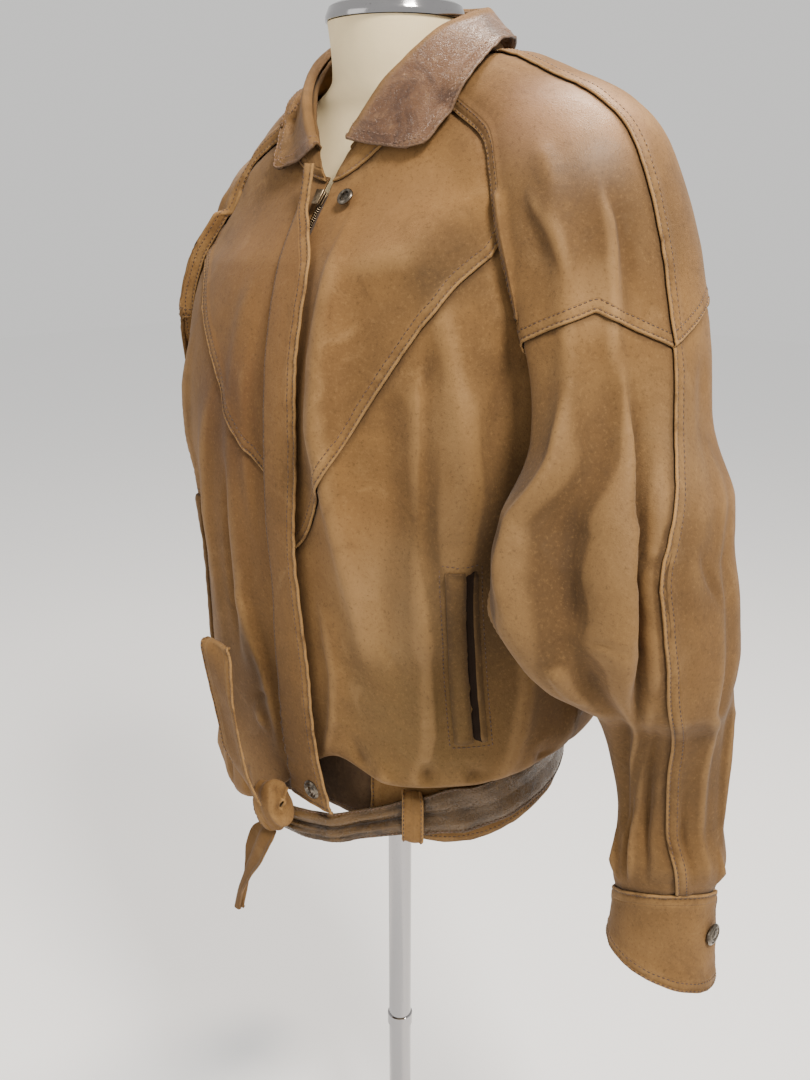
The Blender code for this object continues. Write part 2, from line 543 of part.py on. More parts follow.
def wall(name, grid, normals, thickness, colour, roughness=0.8):
    """A closed wall whose outer face is the grid."""
    mesh = bpy.data.meshes.new(name)
    shape = bmesh.new()
    rows, columns = len(grid), len(grid[0])
    raise_to_floor = Vector((0, 0, PLACKET_HEIGHT))
    outer = [[shape.verts.new(p + raise_to_floor) for p in row] for row in grid]
    inner = [[shape.verts.new(p + raise_to_floor - n.normalized() * thickness)
              for p, n in zip(row, line)] for row, line in zip(grid, normals)]
    for j in range(rows - 1):
        for i in range(columns - 1):
            shape.faces.new((outer[j][i], outer[j][i + 1], outer[j + 1][i + 1]))
            shape.faces.new((outer[j][i], outer[j + 1][i + 1], outer[j + 1][i]))
            # both faces of a twisted cell split along the same diagonal, so the wall can't cross itself
            shape.faces.new((inner[j][i], inner[j + 1][i + 1], inner[j][i + 1]))
            shape.faces.new((inner[j][i], inner[j + 1][i], inner[j + 1][i + 1]))
    for i in range(columns - 1):
        shape.faces.new((inner[0][i], inner[0][i + 1], outer[0][i + 1], outer[0][i]))
        shape.faces.new((outer[-1][i], outer[-1][i + 1], inner[-1][i + 1], inner[-1][i]))
    for j in range(rows - 1):
        shape.faces.new((outer[j][0], outer[j + 1][0], inner[j + 1][0], inner[j][0]))
        shape.faces.new((inner[j][-1], inner[j + 1][-1], outer[j + 1][-1], outer[j][-1]))
    shape.to_mesh(mesh)
    shape.free()
    mesh.shade_smooth()
    mesh.set_sharp_from_angle(angle=math.radians(40))
    return add_object(name, mesh, colour, roughness)


def tree_of(grids):
    """A search tree over the faces of several grids."""
    points, faces = [], []
    for grid in grids:
        columns = len(grid[0])
        start = len(points)
        points += [point for row in grid for point in row]
        for j in range(len(grid) - 1):
            for i in range(columns - 1):
                a = start + j * columns + i
                faces += [(a, a + 1, a + columns + 1), (a, a + columns + 1, a + columns)]
    return BVHTree.FromPolygons(points, faces)


def lifted(point, tree, gap):
    """The point, moved off a surface where it lies closer than the gap or behind it."""
    for _ in range(3):
        hit, normal, _, distance = tree.find_nearest(point)
        height = (point - hit).dot(normal)
        beside = distance > 0.001 and abs(height) < 0.7 * distance
        if height >= gap or beside:
            break
        point = point + normal * (gap - height)
    return point


def mirrored(side, grid):
    """Columns run outward from the centre front; on the right side they are turned to face out."""
    return grid if side > 0 else [list(reversed(row)) for row in grid]


def front_panels(side, name, panels, edges):
    """The upper and lower front, which meet at a slanting seam."""
    raglan = [(side * column(RAGLAN_FRONT, "v", "angle", v), v)
              for v in (column(ARM, "s", "v_front", s) for s in RAGLAN_STEPS)]
    side_seam = [(side * 90, v) for v in SIDE_SEAM]
    outer_edge = side_seam + list(reversed(raglan[DIAGONAL_STEP:]))
    seam_rows = DIAGONAL_LEFT if side > 0 else DIAGONAL_RIGHT
    start = abs(centre_angle(seam_rows[0].v, side))
    diagonal = [(angle * side, column(seam_rows, "angle", "v", angle))
                for angle in steps(start, seam_rows[-1].angle, 40)]
    diagonal = resample(diagonal, FRONT_COLUMNS)
    diagonal[-1] = raglan[DIAGONAL_STEP]
    hem = [(angle, V_SEAM) for angle in steps(centre_angle(V_SEAM, side), side * 90, FRONT_COLUMNS)]
    rest = len(outer_edge) - len(LIP_ROWS)
    centre_low = LIP_ROWS + steps(LIP_ROWS[-1], diagonal[0][1], rest)[1:]
    lower = patch(hem, diagonal, [(centre_angle(v, side), v) for v in centre_low], outer_edge)

    corner = raglan[0]
    first = centre_angle(V_NECK_FRONT, side)
    neck = [(first + (corner[0] - first) * u, V_NECK_FRONT + (corner[1] - V_NECK_FRONT) * u ** 1.5)
            for u in steps(0, 1, FRONT_COLUMNS)]
    raglan_up = list(reversed(raglan[:DIAGONAL_STEP + 1]))
    centre_high = steps(diagonal[0][1], V_NECK_FRONT, len(raglan_up) - 1)
    upper = patch(diagonal, neck, [(centre_angle(v, side), v) for v in centre_high], raglan_up)

    for piece, grid in (("lower", lower), ("upper", upper)):
        grid = [[body_point(*pair) for pair in row] for row in grid]
        panels["front_%s_%s" % (name, piece)] = mirrored(side, grid)
    edges["neck_%s" % name] = [body_point(*pair) for pair in neck]


def back_panel(panels, edges):
    raglan = [(column(RAGLAN_BACK, "v", "angle", v), v)
              for v in (column(ARM, "s", "v_back", s) for s in reversed(RAGLAN_STEPS))]
    side_seam = [(90, v) for v in SIDE_SEAM]
    left_edge = side_seam + raglan
    right_edge = [(360 - angle, v) for angle, v in left_edge]
    hem = [(angle, V_SEAM) for angle in steps(90, 270, BACK_COLUMNS)]
    corner = raglan[-1]
    neck = [(angle, corner[1] + (V_NECK_BACK - corner[1]) * math.sin(math.pi * u))
            for u, angle in zip(steps(0, 1, BACK_COLUMNS), steps(corner[0], 360 - corner[0], BACK_COLUMNS))]
    back = patch(hem, neck, left_edge, right_edge)
    panels["back"] = [[body_point(*pair) for pair in row] for row in back]
    edges["neck_back"] = [body_point(*pair) for pair in neck]


def sleeve_panels(side, name, panels, edges):
    """Each sleeve: a yoke over the shoulder and a tube below it, both in a front and a back half."""
    trunk = tree_of([panels["front_%s_lower" % name], panels["front_%s_upper" % name], panels["back"]])
    for half, (first, last) in (("front", (0.0, 0.5)), ("back", (0.5, 1.0))):
        turns = steps(first, last, ARM_COLUMNS)
        peak = [min(3 * t, 6 * (0.5 - t)) for t in (min(turn, 1 - turn) for turn in turns)]
        cross = [(turn, S_CROSS - CHEVRON * p) for turn, p in zip(turns, peak)]
        top = [(turn, 0.0) for turn in turns]
        yoke_steps = list(reversed(RAGLAN_STEPS[:CROSS_STEP + 1]))
        yoke = patch(cross, top, [(first, s) for s in yoke_steps], [(last, s) for s in yoke_steps])
        cuff = [(turn, float(S_CUFF)) for turn in turns]
        tube_steps = RAGLAN_STEPS[CROSS_STEP:] + [8.4, 9] + steps(9.8, S_CUFF, 10)
        tube_steps = list(reversed(tube_steps))
        tube = patch(cuff, cross, [(first, s) for s in tube_steps], [(last, s) for s in tube_steps])
        for piece, pairs in (("yoke_", yoke), ("", tube)):
            grid = []
            for row in pairs:
                line = []
                for turn, s in row:
                    point = arm_point(side, turn, s)
                    beyond = min(turn, 1 - turn) * 0.42 + max(s - S_UNDERARM, 0) * 0.034
                    if s > S_LOOSE and beyond > 0.001:
                        open_up = CREASE_CLEARANCE * (1 - ease((s - 9) / 2))
                        point = lifted(point, trunk, min(ARM_CLEARANCE + open_up, beyond * 0.6))
                    line.append(point)
                grid.append(line)
            panels["sleeve_%s_%s%s" % (name, piece, half)] = mirrored(side, grid)
        edges["neck_%s_%s" % (name, half)] = [arm_point(side, turn, 0.0) for turn in turns]


def waistband_panels(panels):
    left_hem = steps(centre_angle(V_SEAM, 1), 90, FRONT_COLUMNS)
    right_hem = steps(centre_angle(V_SEAM, -1), -90, FRONT_COLUMNS)
    around = left_hem[BAND_SPLIT:] + steps(90, 270, BACK_COLUMNS)[1:]
    around += [360 + angle for angle in reversed(right_hem[BAND_SPLIT:-1])]
    for name, angles in (("waistband_front_left", left_hem[:BAND_SPLIT + 1]),
                         ("waistband_front_right", list(reversed(right_hem[:BAND_SPLIT + 1]))),
                         ("waistband", around)):
        panels[name] = [[band_point(angle, drop) for angle in angles] for drop in (1.0, 0.5, 0.0)]


def roll_point(rows, side, t):
    angle = math.radians(side * column(rows, "t", "roll_angle", t))
    radius = column(rows, "t", "roll_radius", t)
    return Vector((radius * math.sin(angle), NECK_CENTRE_Y - radius * math.cos(angle),
                   column(rows, "t", "roll_z", t)))


def leaf_point(rows, side, t):
    angle = math.radians(side * column(rows, "t", "leaf_angle", t))
    radius = column(rows, "t", "leaf_radius", t)
    return Vector((radius * math.sin(angle), NECK_CENTRE_Y - radius * math.cos(angle),
                   column(rows, "t", "leaf_z", t)))


def collar_panels(panels, edges):
    """The stand rises from the neck seam; the leaf rolls over it and falls outward."""
    left = edges["neck_left"][:-1] + edges["neck_left_front"][:-1] + edges["neck_left_back"][:-1]
    right = edges["neck_right"][:-1] + edges["neck_right_front"][:-1] + edges["neck_right_back"][:-1]
    neckline = left + edges["neck_back"] + list(reversed(right))
    lengths = [0.0]
    for a, b in zip(neckline, neckline[1:]):
        lengths.append(lengths[-1] + (b - a).length)
    stand, leaf = [], []
    for point, length in zip(neckline, lengths):
        across = 1 - 2 * length / lengths[-1]
        rows, side = (COLLAR_LEFT, 1) if across >= 0 else (COLLAR_RIGHT, -1)
        t = 1 - abs(across)
        roll = roll_point(rows, side, t)
        edge = leaf_point(rows, side, t)
        outward = Vector((roll.x, roll.y - NECK_CENTRE_Y, 0)).normalized()
        top = roll - Vector((0, 0, ROLL_RISE))
        middle = roll.lerp(edge, 0.5) + Vector((0, 0, 0.004))
        stand.append([point, top])
        leaf.append([
            top - outward * PLY + Vector((0, 0, 8 * SEAM_GAP)),
            roll - outward * (0.7 * PLY),
            roll + outward * (0.8 * PLY) + Vector((0, 0, 0.0022)),
            roll + outward * (2.6 * PLY) - Vector((0, 0, 0.0008)),
            middle,
            middle.lerp(edge, 0.55),
            edge,
        ])
    for i in range(1, len(stand) - 1, 2):
        stand[i][1] = stand[i - 1][1].lerp(stand[i + 1][1], 0.5)
    panels["collar_stand"] = transpose(stand)
    shoulders = tree_of(panels.values())
    leaf = [line[:3] + [lifted(p, shoulders, PLY + LEAF_CLEARANCE) for p in line[3:]] for line in leaf[::2]]
    return [list(reversed(row)) for row in transpose(leaf)]


def transpose(grid):
    return [list(row) for row in zip(*grid)]


def build_shell():
    """All panels with their seams, then the collar; returns what lies on the shell needs."""
    panels, edges = {}, {}
    for side, name in ((1, "left"), (-1, "right")):
        front_panels(side, name, panels, edges)
    back_panel(panels, edges)
    for side, name in ((1, "left"), (-1, "right")):
        sleeve_panels(side, name, panels, edges)
    waistband_panels(panels)
    shell = tree_of(panels.values())
    leaf = collar_panels(panels, edges)
    names = list(panels)
    normals = grid_normals([panels[name] for name in names])
    for name, lines in zip(names, normals):
        grid = inset(panels[name], lines, SEAM_GAP / 2)
        wall(name, grid, lines, PLY if name == "collar_stand" else LEATHER, TAN, 0.85)
    wall("collar", leaf, grid_normals([leaf])[0], PLY, WINE, 0.5)
    return shell


def lone_wall(name, grid, thickness, colour, roughness=0.8):
    """A wall that shares no seam; its columns run towards the wearer's left at the front."""
    return wall(name, grid, grid_normals([grid])[0], thickness, colour, roughness)


def build_placket():
    grid = []
    for row in PLACKET_UP:
        line = []
        for u in steps(0, 1, 4):
            swell = PLACKET_SWELL * math.sin(math.pi * u)
            line.append(Vector((row.left + (row.right - row.left) * u, -row.depth - swell, row.z)))
        grid.append(line)
    lone_wall("placket", grid, PLY, TAN)


def build_zip():
    half = ZIP_HALF - SEAM_GAP
    rows = [band_point(0, 0.92), band_point(0, 0.5)]
    rows += [body_point(0, v) for v in steps(V_SEAM, SLIDER_Z + 0.004, 13)]
    grid = [[p + Vector((x, 0, 0)) for x in (-half, 0, half)] for p in rows]
    lone_wall("zip_chain", grid, LEATHER, PEWTER, roughness=0.4)


def turned(name, profile, location, facing, colour, roughness, metallic, sides=20):
    """A turned piece whose profile rows are (radius, height) down its outer side."""
    mesh = bpy.data.meshes.new(name)
    points = [(radius, 0.0, height) for radius, height in profile]
    mesh.from_pydata(points, [(i, i + 1) for i in range(len(points) - 1)], [])
    thing = add_object(name, mesh, colour, roughness, metallic)
    screw = thing.modifiers.new("Screw", "SCREW")
    screw.steps = screw.render_steps = sides
    screw.use_merge_vertices = True
    screw.merge_threshold = 0.0001
    thing.rotation_mode = "QUATERNION"
    thing.rotation_quaternion = Vector((0, 0, 1)).rotation_difference(facing)
    thing.location = location + Vector((0, 0, PLACKET_HEIGHT))
    return thing


def snap_cap(name, seat, facing, radius=SNAP_RADIUS):
    profile = [(r * radius, h) for r, h in CAP_PROFILE]
    turned(name, profile, seat + facing * SEAT_GAP, facing, PEWTER, 0.35, 0.9)


def surface_normal(point_at, a, b, step_a, step_b):
    """Outward normal of a surface, from two short steps along it."""
    along = point_at(a + step_a, b) - point_at(a - step_a, b)
    up = point_at(a, b + step_b) - point_at(a, b - step_b)
    return along.cross(up).normalized()


def build_fasteners(shell):
    """The snap on the placket, its bare socket at the neck, and the zip's slider, pull and stop."""
    height = SNAP_HEIGHT
    low, high = PLACKET[-1], PLACKET[-2]
    across = 0.64
    left, right = column(PLACKET_UP, "z", "left", height), column(PLACKET_UP, "z", "right", height)
    depth = column(PLACKET_UP, "z", "depth", height) + PLACKET_SWELL * math.sin(math.pi * across)
    lean = math.degrees(math.atan2(high.depth - low.depth, high.z - low.z))
    facing = direction(0, -lean)
    snap_cap("placket_snap", Vector((left + (right - left) * across, -depth, height)), facing)
    angle, v = SOCKET_PLACE
    facing = surface_normal(body_point, angle, v, 2.0, 0.006)
    socket = lifted(body_point(angle, v), shell, 0.0010)
    turned("neck_snap_socket", SOCKET_PROFILE, socket, facing, PEWTER, 0.35, 0.9)
    facing = surface_normal(body_point, 0, SLIDER_Z, 1.0, 0.006)
    lean = math.degrees(math.atan2(facing.z, -facing.y))
    centre = body_point(0, SLIDER_Z) + facing * (SLIDER_SIZE[1] / 2 + 2 * SEAT_GAP)
    centre.x += SLIDER_SHIFT
    block("zip_slider", SLIDER_SIZE, centre, -lean)
    pull = block("zip_pull", PULL_SIZE, Vector(), 0)
    hinge = bpy.data.objects.new("zip_pull_hinge", None)
    jacket.objects.link(hinge)
    hinge.rotation_euler = (math.radians(-lean), 0, 0)
    from_centre = Vector((0, -(SLIDER_SIZE[1] + PULL_SIZE[1]) / 2 - SEAT_GAP, SLIDER_SIZE[2] / 2))
    from_centre.rotate(hinge.rotation_euler)
    hinge.location = centre + from_centre + Vector((0, 0, PLACKET_HEIGHT))
    pull.location = Vector((0, 0, -PULL_SIZE[2] / 2))
    pull.parent = hinge
    foot = band_point(0, 0.86)
    block("zip_stop", STOP_SIZE, foot - Vector((0, STOP_SIZE[1] / 2 + SEAT_GAP, 0)), 0)


def block(name, size, location, tilt):
    """A small bevelled metal block, tilted about the garment's left-right axis."""
    mesh = bpy.data.meshes.new(name)
    shape = bmesh.new()
    bmesh.ops.create_cube(shape, size=1.0, matrix=Matrix.Diagonal((*size, 1.0)))
    shape.to_mesh(mesh)
    shape.free()
    thing = add_object(name, mesh, PEWTER, 0.35, 0.9)
    bevel = thing.modifiers.new("Bevel", "BEVEL")
    bevel.width = min(size) * 0.3
    bevel.segments = 2
    thing.rotation_euler = (math.radians(tilt), 0, 0)
    thing.location = location + Vector((0, 0, PLACKET_HEIGHT))
    return thing


def build_pockets():
    """Welt pockets: a raised welt on the front side of each mouth, a narrow facing on the other."""
    for side, name in ((1, "left"), (-1, "right")):
        for piece, lip in POCKET_LIPS.items():
            grid = []
            for v in steps(POCKET_LOW, POCKET_HIGH, 8):
                slant = POCKET_SLANT * (POCKET_HIGH - v) / (POCKET_HIGH - POCKET_LOW)
                line = []
                for u in steps(lip.first, lip.last, lip.columns):
                    angle = side * (POCKET_ANGLE + slant + POCKET_TURN * u)
                    normal = surface_normal(body_point, angle, v, 1.0, 0.004)
                    line.append(body_point(angle, v) + normal * lip.rise)
                grid.append(line)
            lone_wall("pocket_%s_%s" % (name, piece), mirrored(side, grid), LEATHER, TAN)


def cuff_point(side, angle, drop, lift=0.0):
    """A point of a cuff; angle is an azimuth round the wrist, drop runs from its seam to its hem."""
    row = ARM[-1]
    swing, tuck, slump = (RIGHT_SWING, RIGHT_TUCK, RIGHT_SLUMP) if side < 0 else (0.0, 0.0, 0.0)
    towards_front_left = math.cos(math.radians(angle - CUFF_FACING))
    under = ease((-angle - 228) / 22)
    flare = 0.003 + 0.006 * max(towards_front_left, 0)
    radius = CUFF_RADIUS + flare * drop - 0.0036 * under + lift
    point = Vector((row.x - tuck, row.y + swing, row.z - slump)) + direction(angle) * radius
    tilt = (CUFF_TILT * (1 - drop) + 0.003 * drop) * towards_front_left
    tilt += 0.014 * drop * math.cos(math.radians(angle - CUFF_FACING + 90))
    return Vector((point.x * side, point.y, point.z - 2 * SEAM_GAP - CUFF_HEIGHT * drop + tilt))


def build_cuffs():
    """Each cuff laps over itself at the outer back of the wrist and flares a little."""
    for side, name in ((1, "left"), (-1, "right")):
        grid = [[cuff_point(side, angle, drop) for angle in steps(CUFF_LAP - CUFF_TURN, CUFF_LAP, 22)]
                for drop in (1.0, 0.5, 0.0)]
        lone_wall("cuff_%s" % name, mirrored(side, grid), PLY, TAN)
        snap_cap("cuff_%s_snap" % name, cuff_point(side, 90, 0.42, 0.0004), direction(90 * side))


def belt_point(angle, u, lift=0.0):
    """A point of the belt's outer face; u runs from its lower edge (0) to its upper edge (1)."""
    angle = wrap(angle)
    row = {name: column(BELT, "angle", name, angle) for name in BeltRow._fields[1:]}
    height = row["centre"] + (u - 0.5) * row["height"]
    ridge = row["roll"] * (abs(math.sin(2 * math.pi * u)) ** 0.7 + 0.3 * u)
    point = band_point(angle, min(1 - height / WAISTBAND_HEIGHT, 1.2), row["stand_off"] + ridge + lift)
    point.z = column(HEM, "angle", "rim", angle) + height
    return point


def build_belt():
    """The belt's strap runs round the waistband from the knot; two ends leave the knot."""
    grid = [[belt_point(angle, u) for angle in steps(BELT_START, BELT_END, 38)] for u in steps(0, 1, 4)]
    lone_wall("belt", grid, BELT_LEATHER, WINE, roughness=0.45)
    shape = bmesh.new()
    lean = Matrix.Rotation(math.radians(KNOT_LEAN), 3, "Y")
    squash = Matrix.LocRotScale(None, lean, KNOT_RADII)
    bmesh.ops.create_icosphere(shape, subdivisions=3, radius=1.0, matrix=squash)
    mesh = bpy.data.meshes.new("belt_knot")
    shape.to_mesh(mesh)
    shape.free()
    knot = add_object("belt_knot", mesh, TAN, 0.75)
    knot.location = Vector(KNOT_CENTRE) + Vector((0, 0, PLACKET_HEIGHT))
    strap_end("belt_end_up", BELT_END_UP)
    strap_end("belt_end_down", BELT_END_DOWN)


def strap_end(name, rows):
    """A flat strap whose rows cross its own line from one cut edge to the other."""
    grid = []
    for row in rows:
        centre, across = Vector((row.x, row.y, row.z)), direction(90 - row.turn)
        grid.append([centre + across * (row.width * u) for u in (-0.5, -0.17, 0.17, 0.5)])
    lone_wall(name, grid, BELT_LEATHER, TAN)


def build_loops():
    for name, angle in LOOP_ANGLES.items():
        row = {key: column(BELT, "angle", key, angle) for key in BeltRow._fields[1:]}
        reach = row["stand_off"] + row["roll"] * 1.3 + 0.0030
        low = row["centre"] - row["height"] / 2
        high = row["centre"] + row["height"] / 2
        rim = column(HEM, "angle", "rim", angle)
        rest = LOOP_LEATHER + SEAT_GAP
        rows = [(low - 0.0065, rest), (low - 0.0030, reach), (low + 0.004, reach + 0.0006),
                (high - 0.004, reach + 0.0006), (high + 0.0022, reach), (high + 0.0056, rest)]
        grid = []
        for height, lift in rows:
            line = []
            for x in (-0.5, 0, 0.5):
                turn = angle + math.degrees(x * LOOP_WIDTH / 0.15)
                point = band_point(turn, 1 - (height / WAISTBAND_HEIGHT), lift)
                point.z = rim + height
                line.append(point)
            grid.append(line)
        lone_wall("belt_loop_" + name, grid, LOOP_LEATHER, TAN)


def build_form():
    """A limbless torso form with a capped neck, on a pole and a round base."""
    sides = 32
    shape = bmesh.new()
    loops = []
    for row in FORM:
        loop = []
        for i in range(sides):
            turn = 2 * math.pi * i / sides
            x = row.half_width * math.copysign(abs(math.cos(turn)) ** 0.9, math.cos(turn))
            y = row.centre_y + row.half_depth * math.sin(turn)
            loop.append(shape.verts.new((x, y, row.z + PLACKET_HEIGHT)))
        loops.append(loop)
    for low, high in zip(loops, loops[1:]):
        for i in range(sides):
            k = (i + 1) % sides
            shape.faces.new((low[i], low[k], high[k], high[i]))
    shape.faces.new(list(reversed(loops[0])))
    shape.faces.new(loops[-1])
    mesh = bpy.data.meshes.new("form_torso")
    shape.to_mesh(mesh)
    shape.free()
    mesh.shade_smooth()
    add_object("form_torso", mesh, COVER, 0.75)
    top = FORM[-1]
    seat = Vector((0, top.centre_y, top.z + SEAT_GAP))
    turned("neck_cap", NECK_CAP_PROFILE, seat, direction(0, 90), CHROME, 0.12, 1.0, 40)
    high, low = FORM[0].z + PLACKET_HEIGHT - SEAT_GAP, BASE_TOP + SEAT_GAP
    pole = ((0, high), (POLE_RADIUS, high), (POLE_RADIUS, low), (0, low))
    down = Vector((0, 0, -PLACKET_HEIGHT))
    turned("stand_pole", pole, down, direction(0, 90), CHROME, 0.15, 1.0, 24)
    turned("stand_base", BASE_PROFILE, down, direction(0, 90), CHROME, 0.2, 1.0, 48)


for old in list(bpy.data.objects):
    bpy.data.objects.remove(old)
jacket = bpy.data.collections.new("leather_jacket_on_dress_form")
bpy.context.scene.collection.children.link(jacket)

shell_tree = build_shell()
build_placket()
build_zip()
build_fasteners(shell_tree)
build_pockets()
build_cuffs()
build_belt()
build_loops()
build_form()
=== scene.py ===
import math
from collections import namedtuple

import bpy
import bmesh
import numpy as np
from mathutils import Matrix, Vector, noise
from mathutils.bvhtree import BVHTree


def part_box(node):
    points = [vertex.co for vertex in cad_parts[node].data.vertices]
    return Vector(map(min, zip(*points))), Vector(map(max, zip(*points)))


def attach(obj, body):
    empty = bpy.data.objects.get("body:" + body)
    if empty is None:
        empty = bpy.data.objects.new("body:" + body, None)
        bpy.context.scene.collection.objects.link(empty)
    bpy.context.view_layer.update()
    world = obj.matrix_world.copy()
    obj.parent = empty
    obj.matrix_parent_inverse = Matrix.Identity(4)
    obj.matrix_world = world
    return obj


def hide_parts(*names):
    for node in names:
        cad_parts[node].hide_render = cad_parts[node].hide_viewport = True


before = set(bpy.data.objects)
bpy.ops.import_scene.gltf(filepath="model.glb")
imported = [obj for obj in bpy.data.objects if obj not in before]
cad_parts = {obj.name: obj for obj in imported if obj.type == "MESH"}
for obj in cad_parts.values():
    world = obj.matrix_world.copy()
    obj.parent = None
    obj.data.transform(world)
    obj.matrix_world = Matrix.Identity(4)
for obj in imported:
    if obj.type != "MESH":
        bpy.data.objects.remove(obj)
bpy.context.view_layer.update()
bpy.ops.object.select_all(action="DESELECT")


# ---------------------------------------------------------------------------
# Trunk of the blouson: two upper fronts, two lower fronts and one back.
# Worn nubuck about 1.6 mm thick, cut in flat pieces, lapped and topstitched at
# the slanting front seams and closed at the sides; it blouses over the belt.
# ---------------------------------------------------------------------------
HANG = 0.55                # height of the placket's lower edge above the floor
LEATHER = 0.0016           # thickness of the nubuck
ZIP_HALF = 0.0034          # from the zip's middle to a front's edge
WAISTBAND_HEIGHT = 0.062
SIDES = ((1, "left"), (-1, "right"))       # the wearer's left is on +X
TRUNK_SCALE = (0.0029, 1.0)                # metres to a degree round the trunk, and to a step of v
TRUNK_CREASING = 1.3                       # how much deeper the creases are pressed than their table says


def table(columns, rows):
    """Rows of measures whose columns have names."""
    kind = namedtuple("Row", columns)
    return [kind(*row) for row in rows]


BODY = table("v z half_width front back power", [  # trunk sections; v runs up the cloth from the waistband's seam
    (-0.040, 0.060, 0.156, 0.106, 0.108, 2.1), (-0.024, 0.060, 0.171, 0.121, 0.123, 2.2),
    (0.004, 0.053, 0.178, 0.127, 0.130, 2.3), (0.032, 0.060, 0.186, 0.130, 0.136, 2.4),
    (0.070, 0.083, 0.190, 0.130, 0.139, 2.4), (0.130, 0.132, 0.189, 0.133, 0.138, 2.4),
    (0.200, 0.200, 0.187, 0.138, 0.132, 2.4), (0.260, 0.260, 0.189, 0.140, 0.128, 2.4),
    (0.300, 0.300, 0.203, 0.139, 0.127, 2.4), (0.340, 0.340, 0.207, 0.137, 0.126, 2.4),
    (0.400, 0.400, 0.206, 0.129, 0.124, 2.3), (0.449, 0.449, 0.200, 0.114, 0.119, 2.2),
    (0.474, 0.474, 0.194, 0.097, 0.118, 2.2), (0.505, 0.505, 0.184, 0.077, 0.114, 2.2),
    (0.530, 0.530, 0.168, 0.068, 0.106, 2.2), (0.565, 0.565, 0.112, 0.056, 0.087, 2.1),
    (0.602, 0.602, 0.088, 0.050, 0.063, 2.0),
])
V_SEAM, V_ROLL, V_LIP, V_FREE = (row.v for row in BODY[:4])
V_NECK_FRONT, V_NECK_BACK = 0.505, 0.602
RIGHT_DROP = 0.015         # how much lower the jacket sits at the right side of the neck

HEM = table("angle rim lip", [  # waistband's lower edge and the lowest line of the cloth that hangs over it
    (-180, 0.042, 0.088), (-120, 0.020, 0.062), (-75, -0.012, 0.004), (-48, -0.022, -0.038), (-20, -0.010, -0.010),
    (0, 0.002, 0.030), (22, 0.000, 0.064), (40, -0.005, 0.052), (58, -0.009, 0.058), (90, 0.012, 0.074),
    (120, 0.034, 0.086), (180, 0.042, 0.088),
])

Fold = namedtuple("Fold", "at up height width")
TRUNK_FOLDS = [  # the hung shape's largest ridges and troughs, heights and widths in millimetres
    [(17, .47, 2, 18), (21, .4, 13, 18), (21.5, .335, 22, 18), (25, .275, 11, 20), (31, .2, 6, 22), (36, .13, 3, 24)],
    [(24, .44, 4, 18), (42, .46, 9, 18), (58, .485, 5, 16)],
    [(49, .36, 6, 16), (52, .27, 10, 18), (50, .19, 7, 20)],
    [(41, .35, -5, 14), (43, .27, -6, 14), (40, .19, -3, 16)],
    [(-20, .42, 3, 14), (-21, .3, 6, 14), (-20, .15, 6, 14)],
    [(-36, .32, 2, 20), (-42, .18, 2, 22), (-40, .09, 5, 22)],
    [(118, .36, 7, 22), (128, .22, 10, 26), (130, .1, 7, 26)],
    [(-120, .36, 6, 22), (-135, .22, 9, 26), (-133, .1, 8, 26)],
    [(160, .34, 5, 24), (168, .2, 8, 26), (172, .09, 6, 26)],
]
Crease = namedtuple("Crease", "at up height before after")
